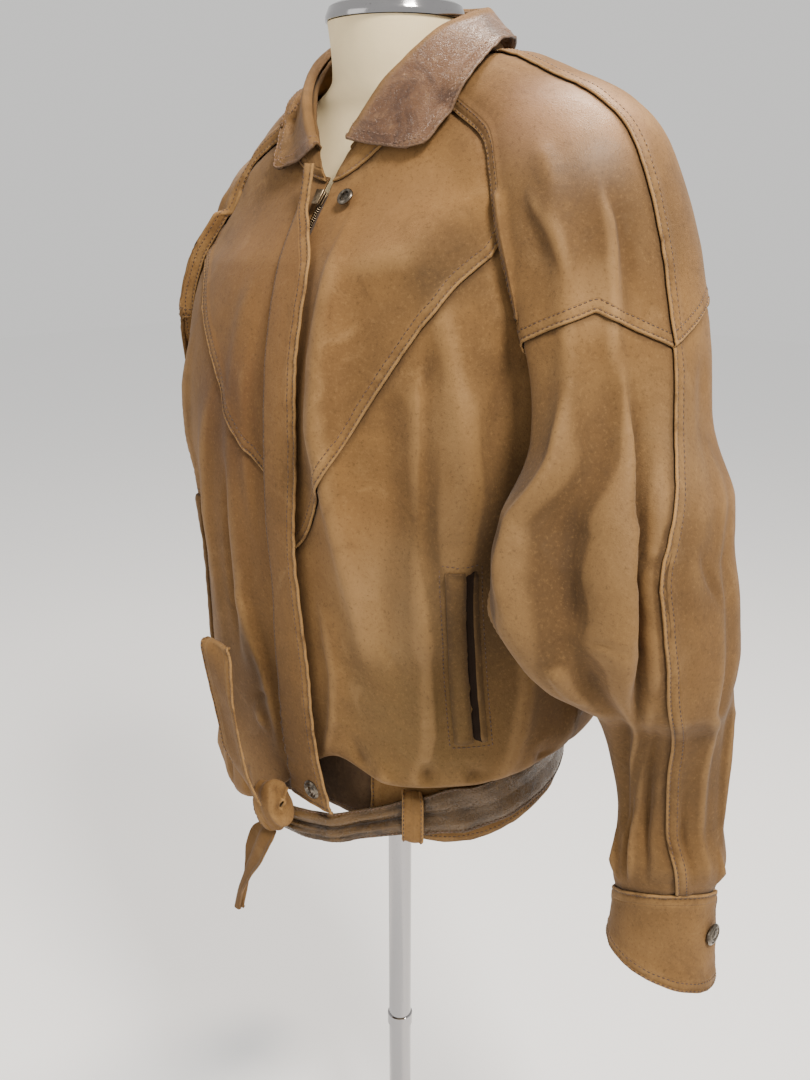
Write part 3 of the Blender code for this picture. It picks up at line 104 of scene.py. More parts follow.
TRUNK_CREASES = [  # sharper folds: their widths are on the side of the lower and of the higher angle
    [(50, .455, 0, 10, 12), (52.5, .411, 4.5, 8, 14), (55, .362, 7.5, 7, 14), (57, .31, 7.5, 8, 13),
     (57.5, .262, 5, 9, 13), (55, .2, 0, 10, 14)],
    [(49.5, .405, 0, 4, 6), (49, .37, -4.5, 4, 6), (48.9, .316, -6, 4, 6), (49.3, .255, -4.5, 4, 6),
     (50, .215, 0, 4, 6)],
    [(23, .495, 0, 4, 14), (20, .464, 2, 4, 14), (18.5, .425, 3, 4, 16), (17, .385, 3.5, 5, 16),
     (17.5, .35, 3.5, 5, 16), (21.5, .3, 4, 5, 16), (26.5, .245, 4.5, 5, 18), (31, .19, 3, 6, 18), (34, .15, 0, 6, 18)],
    [(17.5, .215, 0, 5, 14), (19.5, .18, 3.5, 5, 16), (21.5, .135, 5.5, 5, 16), (20.5, .085, 5.5, 6, 14),
     (18, .045, 3, 6, 14), (17, .02, 0, 6, 12)],
    [(45, .275, 0, 16, 6), (47, .22, 3.5, 16, 6), (50, .16, 5, 16, 5), (51, .1, 5, 14, 5), (49, .045, 2.5, 12, 5),
     (48, .022, 0, 10, 5)],
    [(35.7, .19, 0, 1.6, 1.6), (38, .175, -1.3, 1.8, 1.8), (41, .166, -1.3, 1.8, 1.8), (45, .147, 0, 1.6, 1.6)],
    [(49.5, .072, 0, 4, 6), (50, .05, -6, 5, 6), (50, .022, 0, 4, 6)],
    [(63, .42, 0, 6, 8), (65.5, .395, -3.5, 6, 8), (62.5, .35, -3, 6, 8), (61, .31, 0, 6, 8)],
    [(70, .2, 0, 8, 14), (73, .15, 4, 8, 14), (71, .09, 4.5, 8, 12), (69, .04, 2, 6, 10), (68, .015, 0, 6, 8)],
    [(60, .065, 0, 5, 7), (62, .045, -4.5, 5, 7), (62.5, .015, 0, 5, 7)],
    [(28, .075, 0, 7, 9), (30, .045, -3.5, 6, 9), (31, .012, 0, 6, 9)],
    [(38, .06, 0, 6, 8), (38, .035, 3.5, 6, 8), (37, .008, 0, 6, 8)],
    [(78, .07, 0, 6, 8), (80, .04, -4.5, 6, 8), (80, .01, 0, 6, 8)],
    [(88, .27, 0, 10, 10), (92, .2, 4, 8, 12), (90, .11, 5.5, 8, 12), (88, .035, 0, 8, 10)],
    [(-16, .215, 0, 10, 5), (-18.7, .185, 3, 10, 5), (-13, .143, 4.5, 10, 5), (-8.5, .094, 3, 9, 5),
     (-8, .06, 0, 8, 5)],
    [(-26, .114, 0, 3, 3), (-18, .117, -2.2, 3, 3), (-8, .114, 0, 3, 3)],
    [(-22, .107, 0, 4, 6), (-17, .097, 4, 4, 6), (-12, .085, 0, 4, 6)],
    [(-33, .365, 0, 14, 7), (-36, .3, 4, 14, 7), (-39, .24, 4.5, 14, 7), (-38, .175, 2, 14, 8), (-36, .13, 0, 12, 8)],
    [(-24, .3, 0, 5, 6), (-27, .25, -3.5, 5, 6), (-28, .19, -3.5, 5, 6), (-27, .14, 0, 5, 6)],
    [(-14, .42, 0, 10, 6), (-15, .36, 2.5, 10, 6), (-13, .29, 3, 10, 6), (-12, .23, 0, 10, 6)],
    [(-30, .06, 0, 6, 7), (-31, .035, -4, 6, 7), (-31, .008, 0, 6, 7)],
    [(-45, .08, 0, 7, 8), (-46, .045, -4.5, 7, 8), (-46, .01, 0, 7, 8)],
    [(-57, .075, 0, 7, 8), (-58, .045, 4.5, 7, 8), (-58, .01, 0, 7, 8)],
    [(-52, .4, 0, 12, 7), (-55, .34, 5, 12, 7), (-57, .27, 5.5, 12, 7), (-56, .19, 0, 12, 8)],
    [(-68, .29, 0, 8, 10), (-73, .22, -4, 8, 10), (-75, .14, -4, 8, 10), (-74, .06, 0, 8, 10)],
    [(98, .3, 0, 7, 12), (106, .27, 5.5, 7, 14), (117, .225, 6, 7, 14), (128, .17, 0, 8, 14)],
    [(108, .33, 0, 7, 10), (120, .305, 4.5, 6, 12), (136, .268, 4.5, 6, 12), (150, .235, 0, 7, 12)],
    [(104, .15, 0, 7, 10), (108, .11, -4.5, 6, 9), (109, .06, -4.5, 6, 9), (108, .02, 0, 6, 8)],
    [(121, .09, 0, 6, 8), (122, .055, 5, 6, 8), (122, .012, 0, 6, 8)],
    [(140, .13, 0, 8, 10), (142, .085, -5, 6, 9), (143, .045, -4.5, 6, 9), (143, .012, 0, 6, 8)],
    [(158, .1, 0, 7, 9), (157, .06, 5, 6, 9), (157, .014, 0, 6, 8)],
    [(172, .12, 0, 7, 9), (174, .07, -4.5, 6, 9), (174, .014, 0, 6, 8)],
    [(176, .42, 0, 12, 8), (178, .34, 3.5, 12, 8), (179.5, .26, 4.5, 12, 8), (179.5, .18, 0, 12, 8)],
    [(-100, .3, 0, 13, 7), (-110, .262, 5.5, 14, 7), (-124, .214, 6, 14, 7), (-134, .165, 0, 12, 8)],
    [(-112, .335, 0, 10, 7), (-126, .305, 4, 12, 6), (-146, .262, 4.5, 12, 6), (-158, .232, 0, 10, 7)],
    [(-92, .19, 0, 8, 10), (-94, .13, 4.5, 8, 10), (-92, .06, 3.5, 8, 10), (-90, .015, 0, 6, 8)],
    [(-108, .11, 0, 7, 9), (-107, .065, -5, 6, 9), (-106, .014, 0, 6, 8)],
    [(-124, .095, 0, 7, 9), (-123, .055, 5, 6, 9), (-123, .012, 0, 6, 8)],
    [(-141, .14, 0, 7, 9), (-143, .08, -5, 6, 9), (-143, .014, 0, 6, 8)],
    [(-161, .11, 0, 7, 9), (-160, .06, 4.5, 6, 9), (-160, .014, 0, 6, 8)],
]

RAGLAN_FRONT = table("v angle", [
    (0.300, 90), (0.340, 79.5), (0.381, 71.7), (0.417, 67.5), (0.462, 66), (0.505, 67.8), (0.530, 68.8), (0.565, 60),
])
RAGLAN_BACK = table("v angle", [
    (0.300, 90), (0.360, 102), (0.420, 112), (0.480, 117), (0.550, 120), (0.597, 124.7),
])
DIAGONAL_LEFT = table("angle v", [
    (0, 0.224), (12.5, 0.247), (23.4, 0.303), (40.2, 0.377), (55, 0.434), (66, 0.462),
])
DIAGONAL_RIGHT = table("angle v", [
    (0, 0.283), (16.5, 0.314), (30.4, 0.357), (45, 0.402), (55, 0.436), (66, 0.462),
])
RAGLAN_DROP = table("s v_front v_back", [  # where each section of the sleeve meets the trunk
    (0, 0.565, 0.597), (1, 0.545, 0.580), (2, 0.525, 0.560), (3, 0.505, 0.530), (4, 0.482, 0.495), (5, 0.445, 0.450),
    (6, 0.395, 0.395), (7, 0.345, 0.345), (8, 0.300, 0.300),
])
S_DIAGONAL = 4.5           # the sleeve section at which the slanting seam meets the raglan


def column(rows, name, value):
    """A table's named column, read at values of its first one by a curve that never overshoots."""
    keys = np.array([row[0] for row in rows], float)
    values = np.array([getattr(row, name) for row in rows], float)
    value = np.clip(value, keys[0], keys[-1])
    spans = np.diff(keys)
    secants = np.diff(values) / spans
    product, total = secants[:-1] * secants[1:], secants[:-1] + secants[1:]
    inner = np.where(product > 0, 2 * product / np.where(product > 0, total, 1.0), 0.0)
    tangents = np.concatenate(([secants[0]], inner, [secants[-1]]))
    i = np.clip(np.searchsorted(keys, value, side="right") - 1, 0, len(spans) - 1)
    t = (value - keys[i]) / spans[i]
    rest = 1 - t
    start = values[i] * (1 + 2 * t) * rest ** 2 + tangents[i] * spans[i] * t * rest ** 2
    end = values[i + 1] * t ** 2 * (3 - 2 * t) - tangents[i + 1] * spans[i] * t ** 2 * rest
    return start + end


def row_at(rows, value):
    """Every other column of a table at once, read at values of its first one."""
    return {name: column(rows, name, value) for name in rows[0]._fields[1:]}


def ease(value):
    """From 0 to 1 with a soft start and end, held beyond them."""
    value = np.clip(value, 0.0, 1.0)
    return value * value * (3 - 2 * value)


def unit(vectors):
    return vectors / np.maximum(np.linalg.norm(vectors, axis=-1, keepdims=True), 1e-12)


def stretches(kind, path):
    """A fold's points in pairs, with their heights and widths in metres."""
    points = [kind(*point[:2], *(size / 1000 for size in point[2:])) for point in path]
    return zip(points, points[1:])


def from_stretch(a, b, at, up, across, along):
    """How far down a stretch of a fold each place is, how far from it, and whether on its far side."""
    dx, dy = (b.at - a.at) * across, (b.up - a.up) * along
    px, py = (at - a.at) * across, (up - a.up) * along
    t = np.clip((px * dx + py * dy) / (dx * dx + dy * dy), 0, 1)
    return t, np.hypot(px - t * dx, py - t * dy), px * dy - py * dx < 0


def folds(paths, at, up, across, along):
    """Summed height of soft ridges and troughs; across and along turn the two keys into metres."""
    total = np.zeros(np.broadcast(at, up).shape)
    for path in paths:
        best = np.zeros_like(total)
        for a, b in stretches(Fold, path):
            t, gap, _ = from_stretch(a, b, at, up, across, along)
            width = a.width + (b.width - a.width) * t
            height = (a.height + (b.height - a.height) * t) * np.exp(-(gap / width) ** 2)
            best = np.where(np.abs(height) > np.abs(best), height, best)
        total += best
    return total


def creases(paths, at, up, across, along):
    """Summed height of listed folds whose two flanks have their own widths."""
    total = np.zeros(np.broadcast(at, up).shape)
    for path in paths:
        nearest = np.full_like(total, 9.0)
        height = np.zeros_like(total)
        for a, b in stretches(Crease, path):
            t, gap, after = from_stretch(a, b, at, up, across, along)
            before_width = a.before + (b.before - a.before) * t
            after_width = a.after + (b.after - a.after) * t
            reach = gap / np.where(after, after_width, before_width)
            closer = reach < nearest
            nearest = np.where(closer, reach, nearest)
            height = np.where(closer, a.height + (b.height - a.height) * t, height)
        total += height * np.exp(-nearest ** 2)
    return total


def trunk(angle, v, creased=True):
    """Points of the trunk's outer surface, from angles round the body and heights up the cloth."""
    angle, v = np.broadcast_arrays(np.asarray(angle, float), np.asarray(v, float))
    angle = (angle + 180) % 360 - 180
    facing = np.radians(angle)
    row = row_at(BODY, v)
    width, power = row["half_width"], row["power"]
    depth = np.where(np.abs(angle) <= 90, row["front"], row["back"])
    radius = ((np.abs(np.sin(facing)) / width) ** power + (np.abs(np.cos(facing)) / depth) ** power) ** (-1 / power)
    radius = radius + folds(TRUNK_FOLDS, angle, v, *TRUNK_SCALE)
    if creased:
        depth = TRUNK_CREASING * creases(TRUNK_CREASES, angle, v, *TRUNK_SCALE)
        radius = radius + depth * ease((v - V_ROLL) / 0.03)
    lip = column(HEM, "lip", angle) - BODY[2].z
    seam = column(HEM, "rim", angle) + WAISTBAND_HEIGHT - BODY[0].z
    hang = 1 - ease((v - V_LIP) / 0.22)
    tuck = 1 - ease((v - V_ROLL) / (V_LIP - V_ROLL))
    z = row["z"] + (lip * (1 - tuck) + seam * tuck) * hang
    right = ease((v - 0.36) / 0.16) * ease(-angle / 60) * ease((180 + angle) / 60)
    z = z - RIGHT_DROP * right * (angle < 0)
    return np.stack([radius * np.sin(facing), -radius * np.cos(facing), z + HANG], axis=-1)


def beside_zip(v, side):
    """The angle at which a front's edge stops beside the zip."""
    return side * np.degrees(np.arctan2(ZIP_HALF, column(BODY, "front", v)))


def run_along(path):
    """How far along a path, or down each column of a grid, every point lies."""
    steps = np.linalg.norm(np.diff(path, axis=0), axis=-1)
    return np.concatenate([np.zeros((1,) + steps.shape[1:]), np.cumsum(steps, axis=0)])


def on_path(path, run, at):
    """A path's points, or other values given at its points, at distances along it."""
    return np.stack([np.interp(at, run, path[:, k]) for k in range(path.shape[1])], -1)


def evenly(pairs, count):
    """A path of parameter pairs, at count + 1 even steps along its own length."""
    pairs = np.asarray(pairs, float)
    steps = np.linalg.norm(np.diff(pairs, axis=0) * TRUNK_SCALE, axis=1)
    run = np.concatenate(([0], np.cumsum(steps)))
    return on_path(pairs, run, np.linspace(0, run[-1], count + 1))


def patch(bottom, top, left, right):
    """A grid of parameter pairs between four edges; bottom and top run left to right."""
    v = ((left[:, 1] - left[0, 1]) / (left[-1, 1] - left[0, 1]))[:, None, None]
    u = np.linspace(0, 1, len(bottom))[None, :, None]
    ruled = left[:, None] * (1 - u) + right[:, None] * u + bottom[None] * (1 - v) + top[None] * v
    low, high = bottom[0] * (1 - u) + bottom[-1] * u, top[0] * (1 - u) + top[-1] * u
    return ruled - low * (1 - v) - high * v


def grid_normals(grid):
    """Unit normals of a grid whose rows run up and columns run to the right, seen from outside."""
    along = np.gradient(grid, axis=1)
    up = np.gradient(grid, axis=0)
    return unit(np.cross(along, up))


def blurred(field, times):
    """The field after that many passes of a small box blur, edges held."""
    for _ in range(times):
        for axis in (0, 1):
            wide = np.pad(field, [(1, 1) if k == axis else (0, 0) for k in range(field.ndim)], mode="edge")
            n = field.shape[axis]
            field = (np.take(wide, range(0, n), axis) + 2 * np.take(wide, range(1, n + 1), axis)
                     + np.take(wide, range(2, n + 2), axis)) / 4
    return field


EDGE_LINES = (0.0004, 0.0012, 0.0022, 0.0034, 0.0048)


def with_edge_lines(grid):
    """The grid with extra lines close to its four edges, so that a cut edge can turn down."""
    for _ in range(4):
        inward = grid[2] - grid[0]
        step = np.linalg.norm(inward, axis=-1, keepdims=True)
        lines = [grid[0] + inward * np.minimum(d / step, (k + 1) / (len(EDGE_LINES) + 1))
                 for k, d in enumerate(EDGE_LINES)]
        grid = np.rot90(np.concatenate([grid[:1], np.stack(lines), grid[2:]]))
    return grid


TURNS = {"low": 0, "last": 1, "high": 2, "first": 3}   # quarter turns that make an edge a grid's first row
EDGES = ("low", "high", "first", "last")


def edge_distance(grid, edge):
    """How far each point lies from one of the grid's edges, measured square to it."""
    flat = np.rot90(grid, TURNS[edge])
    along = unit(np.gradient(flat[0], axis=0))
    inward = unit(flat[min(4, len(flat) - 1)] - flat[0])
    square = np.linalg.norm(np.cross(along, inward), axis=-1)
    return np.rot90(run_along(flat) * square[None], -TURNS[edge])


def rough(points, size, seed):
    """Smooth random heights between -1 and 1 with features of about that size in metres."""
    flat = points.reshape(-1, 3) / size + seed * 7.31
    return np.array([noise.noise(p) for p in flat]).reshape(points.shape[:-1])


def run_on(grid, normals, edge, shifts):
    """More rows beyond one edge; each shift is how far on and how far in, in metres."""
    turns = TURNS[edge]
    flat, ways = np.rot90(grid, turns), np.rot90(normals, turns)
    ahead = flat[0] - flat[min(8, len(flat) - 1)]
    ahead = unit(ahead - ways[0] * np.sum(ahead * ways[0], axis=-1, keepdims=True))
    rows = [flat[0] + ahead * on - ways[0] * down for on, down in reversed(shifts)]
    count = len(rows)
    wider = [np.concatenate([np.stack(rows), flat]), np.concatenate([np.repeat(ways[:1], count, 0), ways])]
    return tuple(np.rot90(part, -turns) for part in wider)


EDGE_SHAPE = {  # how the leather stands beside each kind of edge: height, how far in, half width
    "over": [(0.0005, 0.0014, 0.0012), (-0.0004, 0.0034, 0.0011)],
    "under": [(-0.0007, 0, 0.0050)],
    "plain": [(-0.0012, 0, 0.0025)],
}
RUN_ON = {"under": [(0.0022, 0.0003), (0.0050, 0.0008)], "plain": [(0.0002, 0.0010), (0.0002, 0.0030)]}
PUCKER_WIDTH, LAP_WIDTH, LAP_FALL, EDGE_ROUND, EDGE_DROP = 0.012, 0.0078, 0.006, 0.0013, 0.0011


def sewn(grid, over=(), under=(), plain=(), lap=0.0013, pucker=0.00035, slack=0.0009, soiled=True):
    """A cut piece as sewn: lapped edges stand up, edges under them run on, plain ones turn in."""
    grid = with_edge_lines(grid)
    normals = grid_normals(grid)
    height = slack * (0.6 * rough(grid, 0.055, 1) + 0.3 * rough(grid, 0.021, 6) + 0.14 * rough(grid, 0.009, 8))
    seam, stitched = np.ones(grid.shape[:2]), np.ones(grid.shape[:2])
    wave = rough(grid, 0.011, 12) + 0.6 * rough(grid, 0.0055, 18)
    kinds = {edge: kind for kind, edges in (("over", over), ("under", under), ("plain", plain)) for edge in edges}
    for edge in EDGES:
        d, kind = edge_distance(grid, edge), kinds.get(edge)
        if kind:
            seam = np.minimum(seam, d)
            height += pucker * wave * np.exp(-(d / PUCKER_WIDTH) ** 2) * 1.6
        if kind == "over":
            stitched = np.minimum(stitched, d)
            height += lap * (1 - ease((d - LAP_WIDTH) / LAP_FALL))
        for rise, middle, width in EDGE_SHAPE.get(kind, ()):
            height += rise * np.exp(-((d - middle) / width) ** 2)
        turn = np.clip(1 - d / EDGE_ROUND, 0, 1)
        height -= EDGE_DROP * (1 - np.sqrt(1 - turn ** 2 * 0.98)) * (1.0 if kind == "over" else 0.3)
    grid = grid + normals * height[..., None]
    for edge in EDGES:
        if kinds.get(edge) in RUN_ON:
            turns = TURNS[edge]
            more = np.zeros((2,) + np.rot90(seam, turns).shape[1:])
            seam = np.rot90(np.concatenate([more, np.rot90(seam, turns)]), -turns)
            stitched = np.rot90(np.concatenate([more + 1, np.rot90(stitched, turns)]), -turns)
            grid, normals = run_on(grid, normals, edge, RUN_ON[kinds[edge]])
    return grid, seam if soiled else seam + 0.01, stitched


def relief_of(grid):
    """How far each point stands above (+) or sinks below (-) the cloth around it, about -1 to 1."""
    normals = grid_normals(grid)
    fine = np.sum((grid - blurred(grid, 3)) * normals, axis=-1) / 0.00035
    wide = np.sum((grid - blurred(grid, 25)) * normals, axis=-1) / 0.0022
    return np.clip(blurred(0.42 * fine + 0.42 * wide, 2), -1.6, 1.6)


def new_piece(name, points, faces):
    """An object of these points and faces, linked to the scene."""
    mesh = bpy.data.meshes.new(name)
    mesh.from_pydata(points, [], faces)
    piece = bpy.data.objects.new(name, mesh)
    bpy.context.scene.collection.objects.link(piece)
    return piece


def leather_wall(name, grid, thickness, fields):
    """A closed wall of leather whose outer face is the grid; fields are stored on its points."""
    rows, columns = grid.shape[:2]
    normals = grid_normals(grid)
    points = np.concatenate([grid.reshape(-1, 3), (grid - normals * thickness).reshape(-1, 3)])
    index = np.arange(rows * columns).reshape(rows, columns)
    a, b, c, d = index[:-1, :-1], index[:-1, 1:], index[1:, 1:], index[1:, :-1]
    outer = np.stack([a, b, c, d], -1).reshape(-1, 4)
    inner = np.stack([d, c, b, a], -1).reshape(-1, 4) + rows * columns
    rim = np.concatenate([index[0], index[1:, -1], index[-1, -2::-1], index[-2:0:-1, 0]])
    ahead = np.roll(rim, -1)
    side = np.stack([rim, rim + rows * columns, ahead + rows * columns, ahead], -1)
    piece = new_piece(name, points.tolist(), np.concatenate([outer, inner, side]).tolist())
    piece.data.shade_smooth()
    fields = {key: np.tile(field.ravel(), 2) for key, field in fields.items()}
    fields["inside"] = np.repeat([0.0, 1.0], rows * columns)
    for key, values in fields.items():
        layer = piece.data.attributes.new(key, "FLOAT", "POINT")
        layer.data.foreach_set("value", values.astype(np.float32))
    return piece


def cut_size(grid):
    """Width, length and area of the flat piece that this much cloth was cut from."""
    wide = np.linalg.norm(np.diff(grid, axis=1), axis=-1).sum(axis=1).max()
    long = np.linalg.norm(np.diff(grid, axis=0), axis=-1).sum(axis=0).max()
    cross = np.cross(grid[1:, 1:] - grid[:-1, :-1], grid[1:, :-1] - grid[:-1, 1:])
    area = np.linalg.norm(cross, axis=-1).sum() / 2
    return float(wide), float(long), float(min(area, 0.999 * wide * long))


def feed(socket, value):
    """Links a varying value to a socket, or sets the socket to a constant one."""
    if isinstance(value, Shade):
        value.tree.links.new(value.socket, socket)
    else:
        socket.default_value = value


class Shade:
    """A node socket that adds, subtracts, multiplies and mixes as a Python value does."""

    def __init__(self, tree, socket):
        self.tree, self.socket = tree, socket

    def node(self, kind, settings=None, output=0, **sockets):
        """An output of a new node; its sockets are given by name, or as in0, in1 by place."""
        made = self.tree.nodes.new(kind)
        for key, value in (settings or {}).items():
            setattr(made, key, value)
        for key, value in sockets.items():
            number = key[2:]
            feed(made.inputs[int(number) if number.isdigit() else key.replace("_", " ")], value)
        return Shade(self.tree, made.outputs[output])

    def maths(self, operation, *values):
        return self.node("ShaderNodeMath", {"operation": operation}, **{"in%d" % i: v for i, v in enumerate(values)})

    def __add__(self, other):
        return self.maths("ADD", self, other)

    def __sub__(self, other):
        return self.maths("SUBTRACT", self, other)

    def __rsub__(self, other):
        return self.maths("SUBTRACT", other, self)

    def __mul__(self, other):
        return self.maths("MULTIPLY", self, other)

    __radd__, __rmul__ = __add__, __mul__

    def span(self, low, high, first=0.0, last=1.0):
        """Smoothly from first to last as the value goes from low to high."""
        settings = {"interpolation_type": "SMOOTHSTEP"}
        return self.node("ShaderNodeMapRange", settings, in0=self, in1=low, in2=high, in3=first, in4=last)

    def mixed(self, colour, amount):
        """This colour with another over it, as much as amount says."""
        over = colour if isinstance(colour, Shade) else (*colour, 1.0)
        return self.node("ShaderNodeMix", {"data_type": "RGBA"}, 2, in0=amount, in6=self, in7=over)


def dim(colour, by):
    return tuple(by * c for c in colour)


def material(name):
    """A new material, with its tree, its shader and the place on the object."""
    made = bpy.data.materials.new(name)
    made.use_nodes = True
    tree = made.node_tree
    where = Shade(tree, tree.nodes.new("ShaderNodeTexCoord").outputs["Object"])
    return made, tree, tree.nodes["Principled BSDF"], where


def ground(tree, colour):
    """The colour that all others are mixed over."""
    flat = tree.nodes.new("ShaderNodeRGB")
    flat.outputs[0].default_value = (*colour, 1.0)
    return Shade(tree, flat.outputs[0])


def field(tree, name):
    """A value stored on the piece's points."""
    made = tree.nodes.new("ShaderNodeAttribute")
    made.attribute_name = name
    return Shade(tree, made.outputs["Fac"])


def into(shader, **sockets):
    """Feeds the shader's own sockets: varying values are linked and constant ones set."""
    for key, value in sockets.items():
        feed(shader.inputs[key.replace("_", " ")], value)


def bumped(shader, height, strength, distance):
    into(shader, Normal=height.node("ShaderNodeBump", Strength=strength, Distance=distance, Height=height))


def speckle(where, scale, detail=3.0, harshness=0.55, distortion=0.0):
    """Cloudy spots whose size is about one over the scale, in metres."""
    return where.node("ShaderNodeTexNoise", in0=where, Scale=scale, Detail=detail, Roughness=harshness,
                      Distortion=distortion)


def near(where, centre, radius):
    """1 at a place on the jacket, falling softly to 0 at the radius."""
    gap = where.node("ShaderNodeVectorMath", {"operation": "DISTANCE"}, "Value", in0=where, in1=centre)
    return gap.span(radius, radius * 0.2)


# Patches of tone set by place on the jacket. The purple-brown mottling beside the left shoulder is wear and grime, but
# the pale patch on the left shoulder is a painted highlight, the pale ones on the chest, lower left front and outer
# sleeves are painted light, and the dark ones on the upper left front, under the left arm, down the left sleeve and
# over the wearer's right front and right sleeve are painted shade; the others darken or lighten the nubuck where they
# lie.
WEAR_AND_PAINTED_LIGHT_PATCHES = table("centre radius colour amount", [
    ((0.187, -0.030, 1.097), 0.060, (0.40, 0.220, 0.110), 0.85),
    ((0.150, -0.042, 1.099), 0.060, (0.135, 0.066, 0.034), 0.55),
    ((0.215, -0.062, 1.045), 0.085, (0.062, 0.031, 0.011), 0.80),
    ((0.262, -0.020, 1.030), 0.050, (0.090, 0.047, 0.015), 0.70),
    ((0.125, -0.092, 1.004), 0.048, (0.060, 0.032, 0.011), 0.85),
    ((0.231, -0.065, 0.983), 0.035, (0.290, 0.165, 0.065), 0.55),
    ((0.076, -0.080, 1.042), 0.070, (0.235, 0.118, 0.040), 0.60),
    ((-0.037, -0.125, 0.970), 0.150, (0.150, 0.067, 0.020), 0.60),
    ((-0.060, -0.138, 0.880), 0.085, (0.075, 0.032, 0.011), 0.75),
    ((-0.044, -0.141, 0.800), 0.120, (0.105, 0.047, 0.013), 0.60),
    ((-0.035, -0.131, 0.638), 0.100, (0.080, 0.038, 0.012), 0.65),
    ((0.081, -0.139, 0.795), 0.070, (0.170, 0.085, 0.030), 0.40),
    ((0.110, -0.120, 0.760), 0.075, (0.290, 0.172, 0.070), 0.70),
    ((0.125, -0.110, 0.660), 0.110, (0.125, 0.075, 0.024), 0.60),
    ((0.151, -0.108, 0.896), 0.050, (0.270, 0.150, 0.055), 0.45),
    ((0.185, -0.090, 0.780), 0.130, (0.062, 0.034, 0.011), 0.90),
    ((0.255, -0.110, 0.850), 0.175, (0.072, 0.037, 0.012), 0.85),
    ((0.299, -0.040, 0.900), 0.070, (0.220, 0.128, 0.050), 0.40),
    ((0.275, -0.038, 0.651), 0.175, (0.068, 0.036, 0.012), 0.62),
    ((0.120, 0.110, 0.950), 0.160, (0.130, 0.066, 0.022), 0.45),
    ((-0.080, 0.120, 0.800), 0.140, (0.210, 0.115, 0.043), 0.35),
    ((-0.190, -0.020, 1.090), 0.070, (0.250, 0.140, 0.072), 0.50),
    ((-0.250, -0.020, 0.760), 0.130, (0.105, 0.055, 0.019), 0.55),
])


SHINY_SHOULDER, SHINY_RADIUS = (0.195, -0.035, 1.095), 0.075


def nubuck(name, base, deep, light, patches=True):
    """Brushed leather: mottled and darker along seams, with painted shade in its creases; its ridges are paler, part
    rubbed wear and part painted highlight, and smoother.
    """
    made, tree, shader, where = material(name)
    clouds = speckle(where, 8.0, 4.0, 0.6, 0.5)
    blotch = speckle(where, 34.0, 6.0, 0.7, 0.8)
    nap = speckle(where, 380.0, 4.0, 0.75)
    pores = where.node("ShaderNodeTexVoronoi", {"feature": "F1"}, in0=where, Scale=900.0)
    relief, seam, rows, inside = (field(tree, key) for key in ("relief", "seam", "stitched", "inside"))

    colour = ground(tree, base)
    colour = colour.mixed(deep, clouds.span(0.42, 0.66) * 0.60)
    colour = colour.mixed(light, clouds.span(0.46, 0.30) * 0.30)
    colour = colour.mixed(light, blotch.span(0.52, 0.75) * 0.40)
    colour = colour.mixed(deep, blotch.span(0.47, 0.30) * 0.50)
    if patches:
        # Wear patches together with patches of painted light and painted shade.
        for worn in WEAR_AND_PAINTED_LIGHT_PATCHES:
            soft = near(where, worn.centre, worn.radius) * blotch.span(0.3, 0.6, 0.6, 1.0)
            colour = colour.mixed(worn.colour, soft * worn.amount)
    # Painted shade: the nubuck darkens where the cloth sinks into a crease or hollow.
    colour = colour.mixed(deep, relief.span(-0.10, -1.2) * (blotch * 0.5 + 0.12))
    # Painted highlight with some rubbed wear: the nubuck is paler where the cloth stands up in a ridge.
    colour = colour.mixed(light, relief.span(0.25, 1.2) * (blotch * 0.6 + 0.05))
    # Painted shade: near black in the deepest hollows, the shadow under an overhanging fold.
    colour = colour.mixed(dim(deep, 0.22), relief.span(-1.0, -1.7) * 0.34)
    dirt = seam.span(0.006, 0.0) * blotch.span(0.25, 0.6, 0.35, 0.8)
    colour = colour.mixed(dim(deep, 0.45), dirt * 0.7)
    colour = colour.mixed(light, rows.span(0.0110, 0.0070) * blotch.span(0.35, 0.65) * 0.30)
    edge_rub = rows.span(0.0028, 0.0010) * blotch.span(0.30, 0.50)
    colour = colour.mixed(light, edge_rub * 0.75)
    colour = colour.mixed(dim(deep, 0.6), nap.span(0.54, 0.68) * 0.42)
    colour = colour.mixed(light, nap.span(0.46, 0.32) * 0.20)
    colour = colour.mixed(dim(base, 0.6), inside * 0.6)

    shine = blotch.span(0.55, 0.8) * 0.16 + relief.span(0.2, 1.2) * 0.14
    shine = shine + near(where, SHINY_SHOULDER, SHINY_RADIUS) * 0.42
    into(shader, Base_Color=colour, Roughness=0.86 - shine + nap * 0.08, Specular_IOR_Level=0.30,
         Sheen_Weight=0.04, Sheen_Roughness=0.45)

    furrow = rows.span(0.0014, 0.0024) * rows.span(0.0036, 0.0026)
    second = rows.span(0.0074, 0.0084) * rows.span(0.0096, 0.0086)
    height = nap * 0.35 + pores * 0.25 + blotch * 0.9 - furrow * 0.8 - second * 0.8
    bumped(shader, height, 0.55, 0.0007)
    return made


TAN, TAN_DEEP, TAN_LIGHT = (0.168, 0.084, 0.024), (0.076, 0.037, 0.011), (0.29, 0.160, 0.054)
tan_nubuck = nubuck("tan_nubuck", TAN, TAN_DEEP, TAN_LIGHT)

THREAD = []                # path, normals and bare length at its ends, of every row of stitches not yet sewn
ROW, SECOND_ROW = 0.0030, 0.0090           # how far in from a lapped edge its two rows of stitches run
ROW_END = 0.004                            # bare length at each end of a row
STITCH_PITCH, STITCH_LENGTH, THREAD_WIDTH = 0.0038, 0.0026, 0.00050


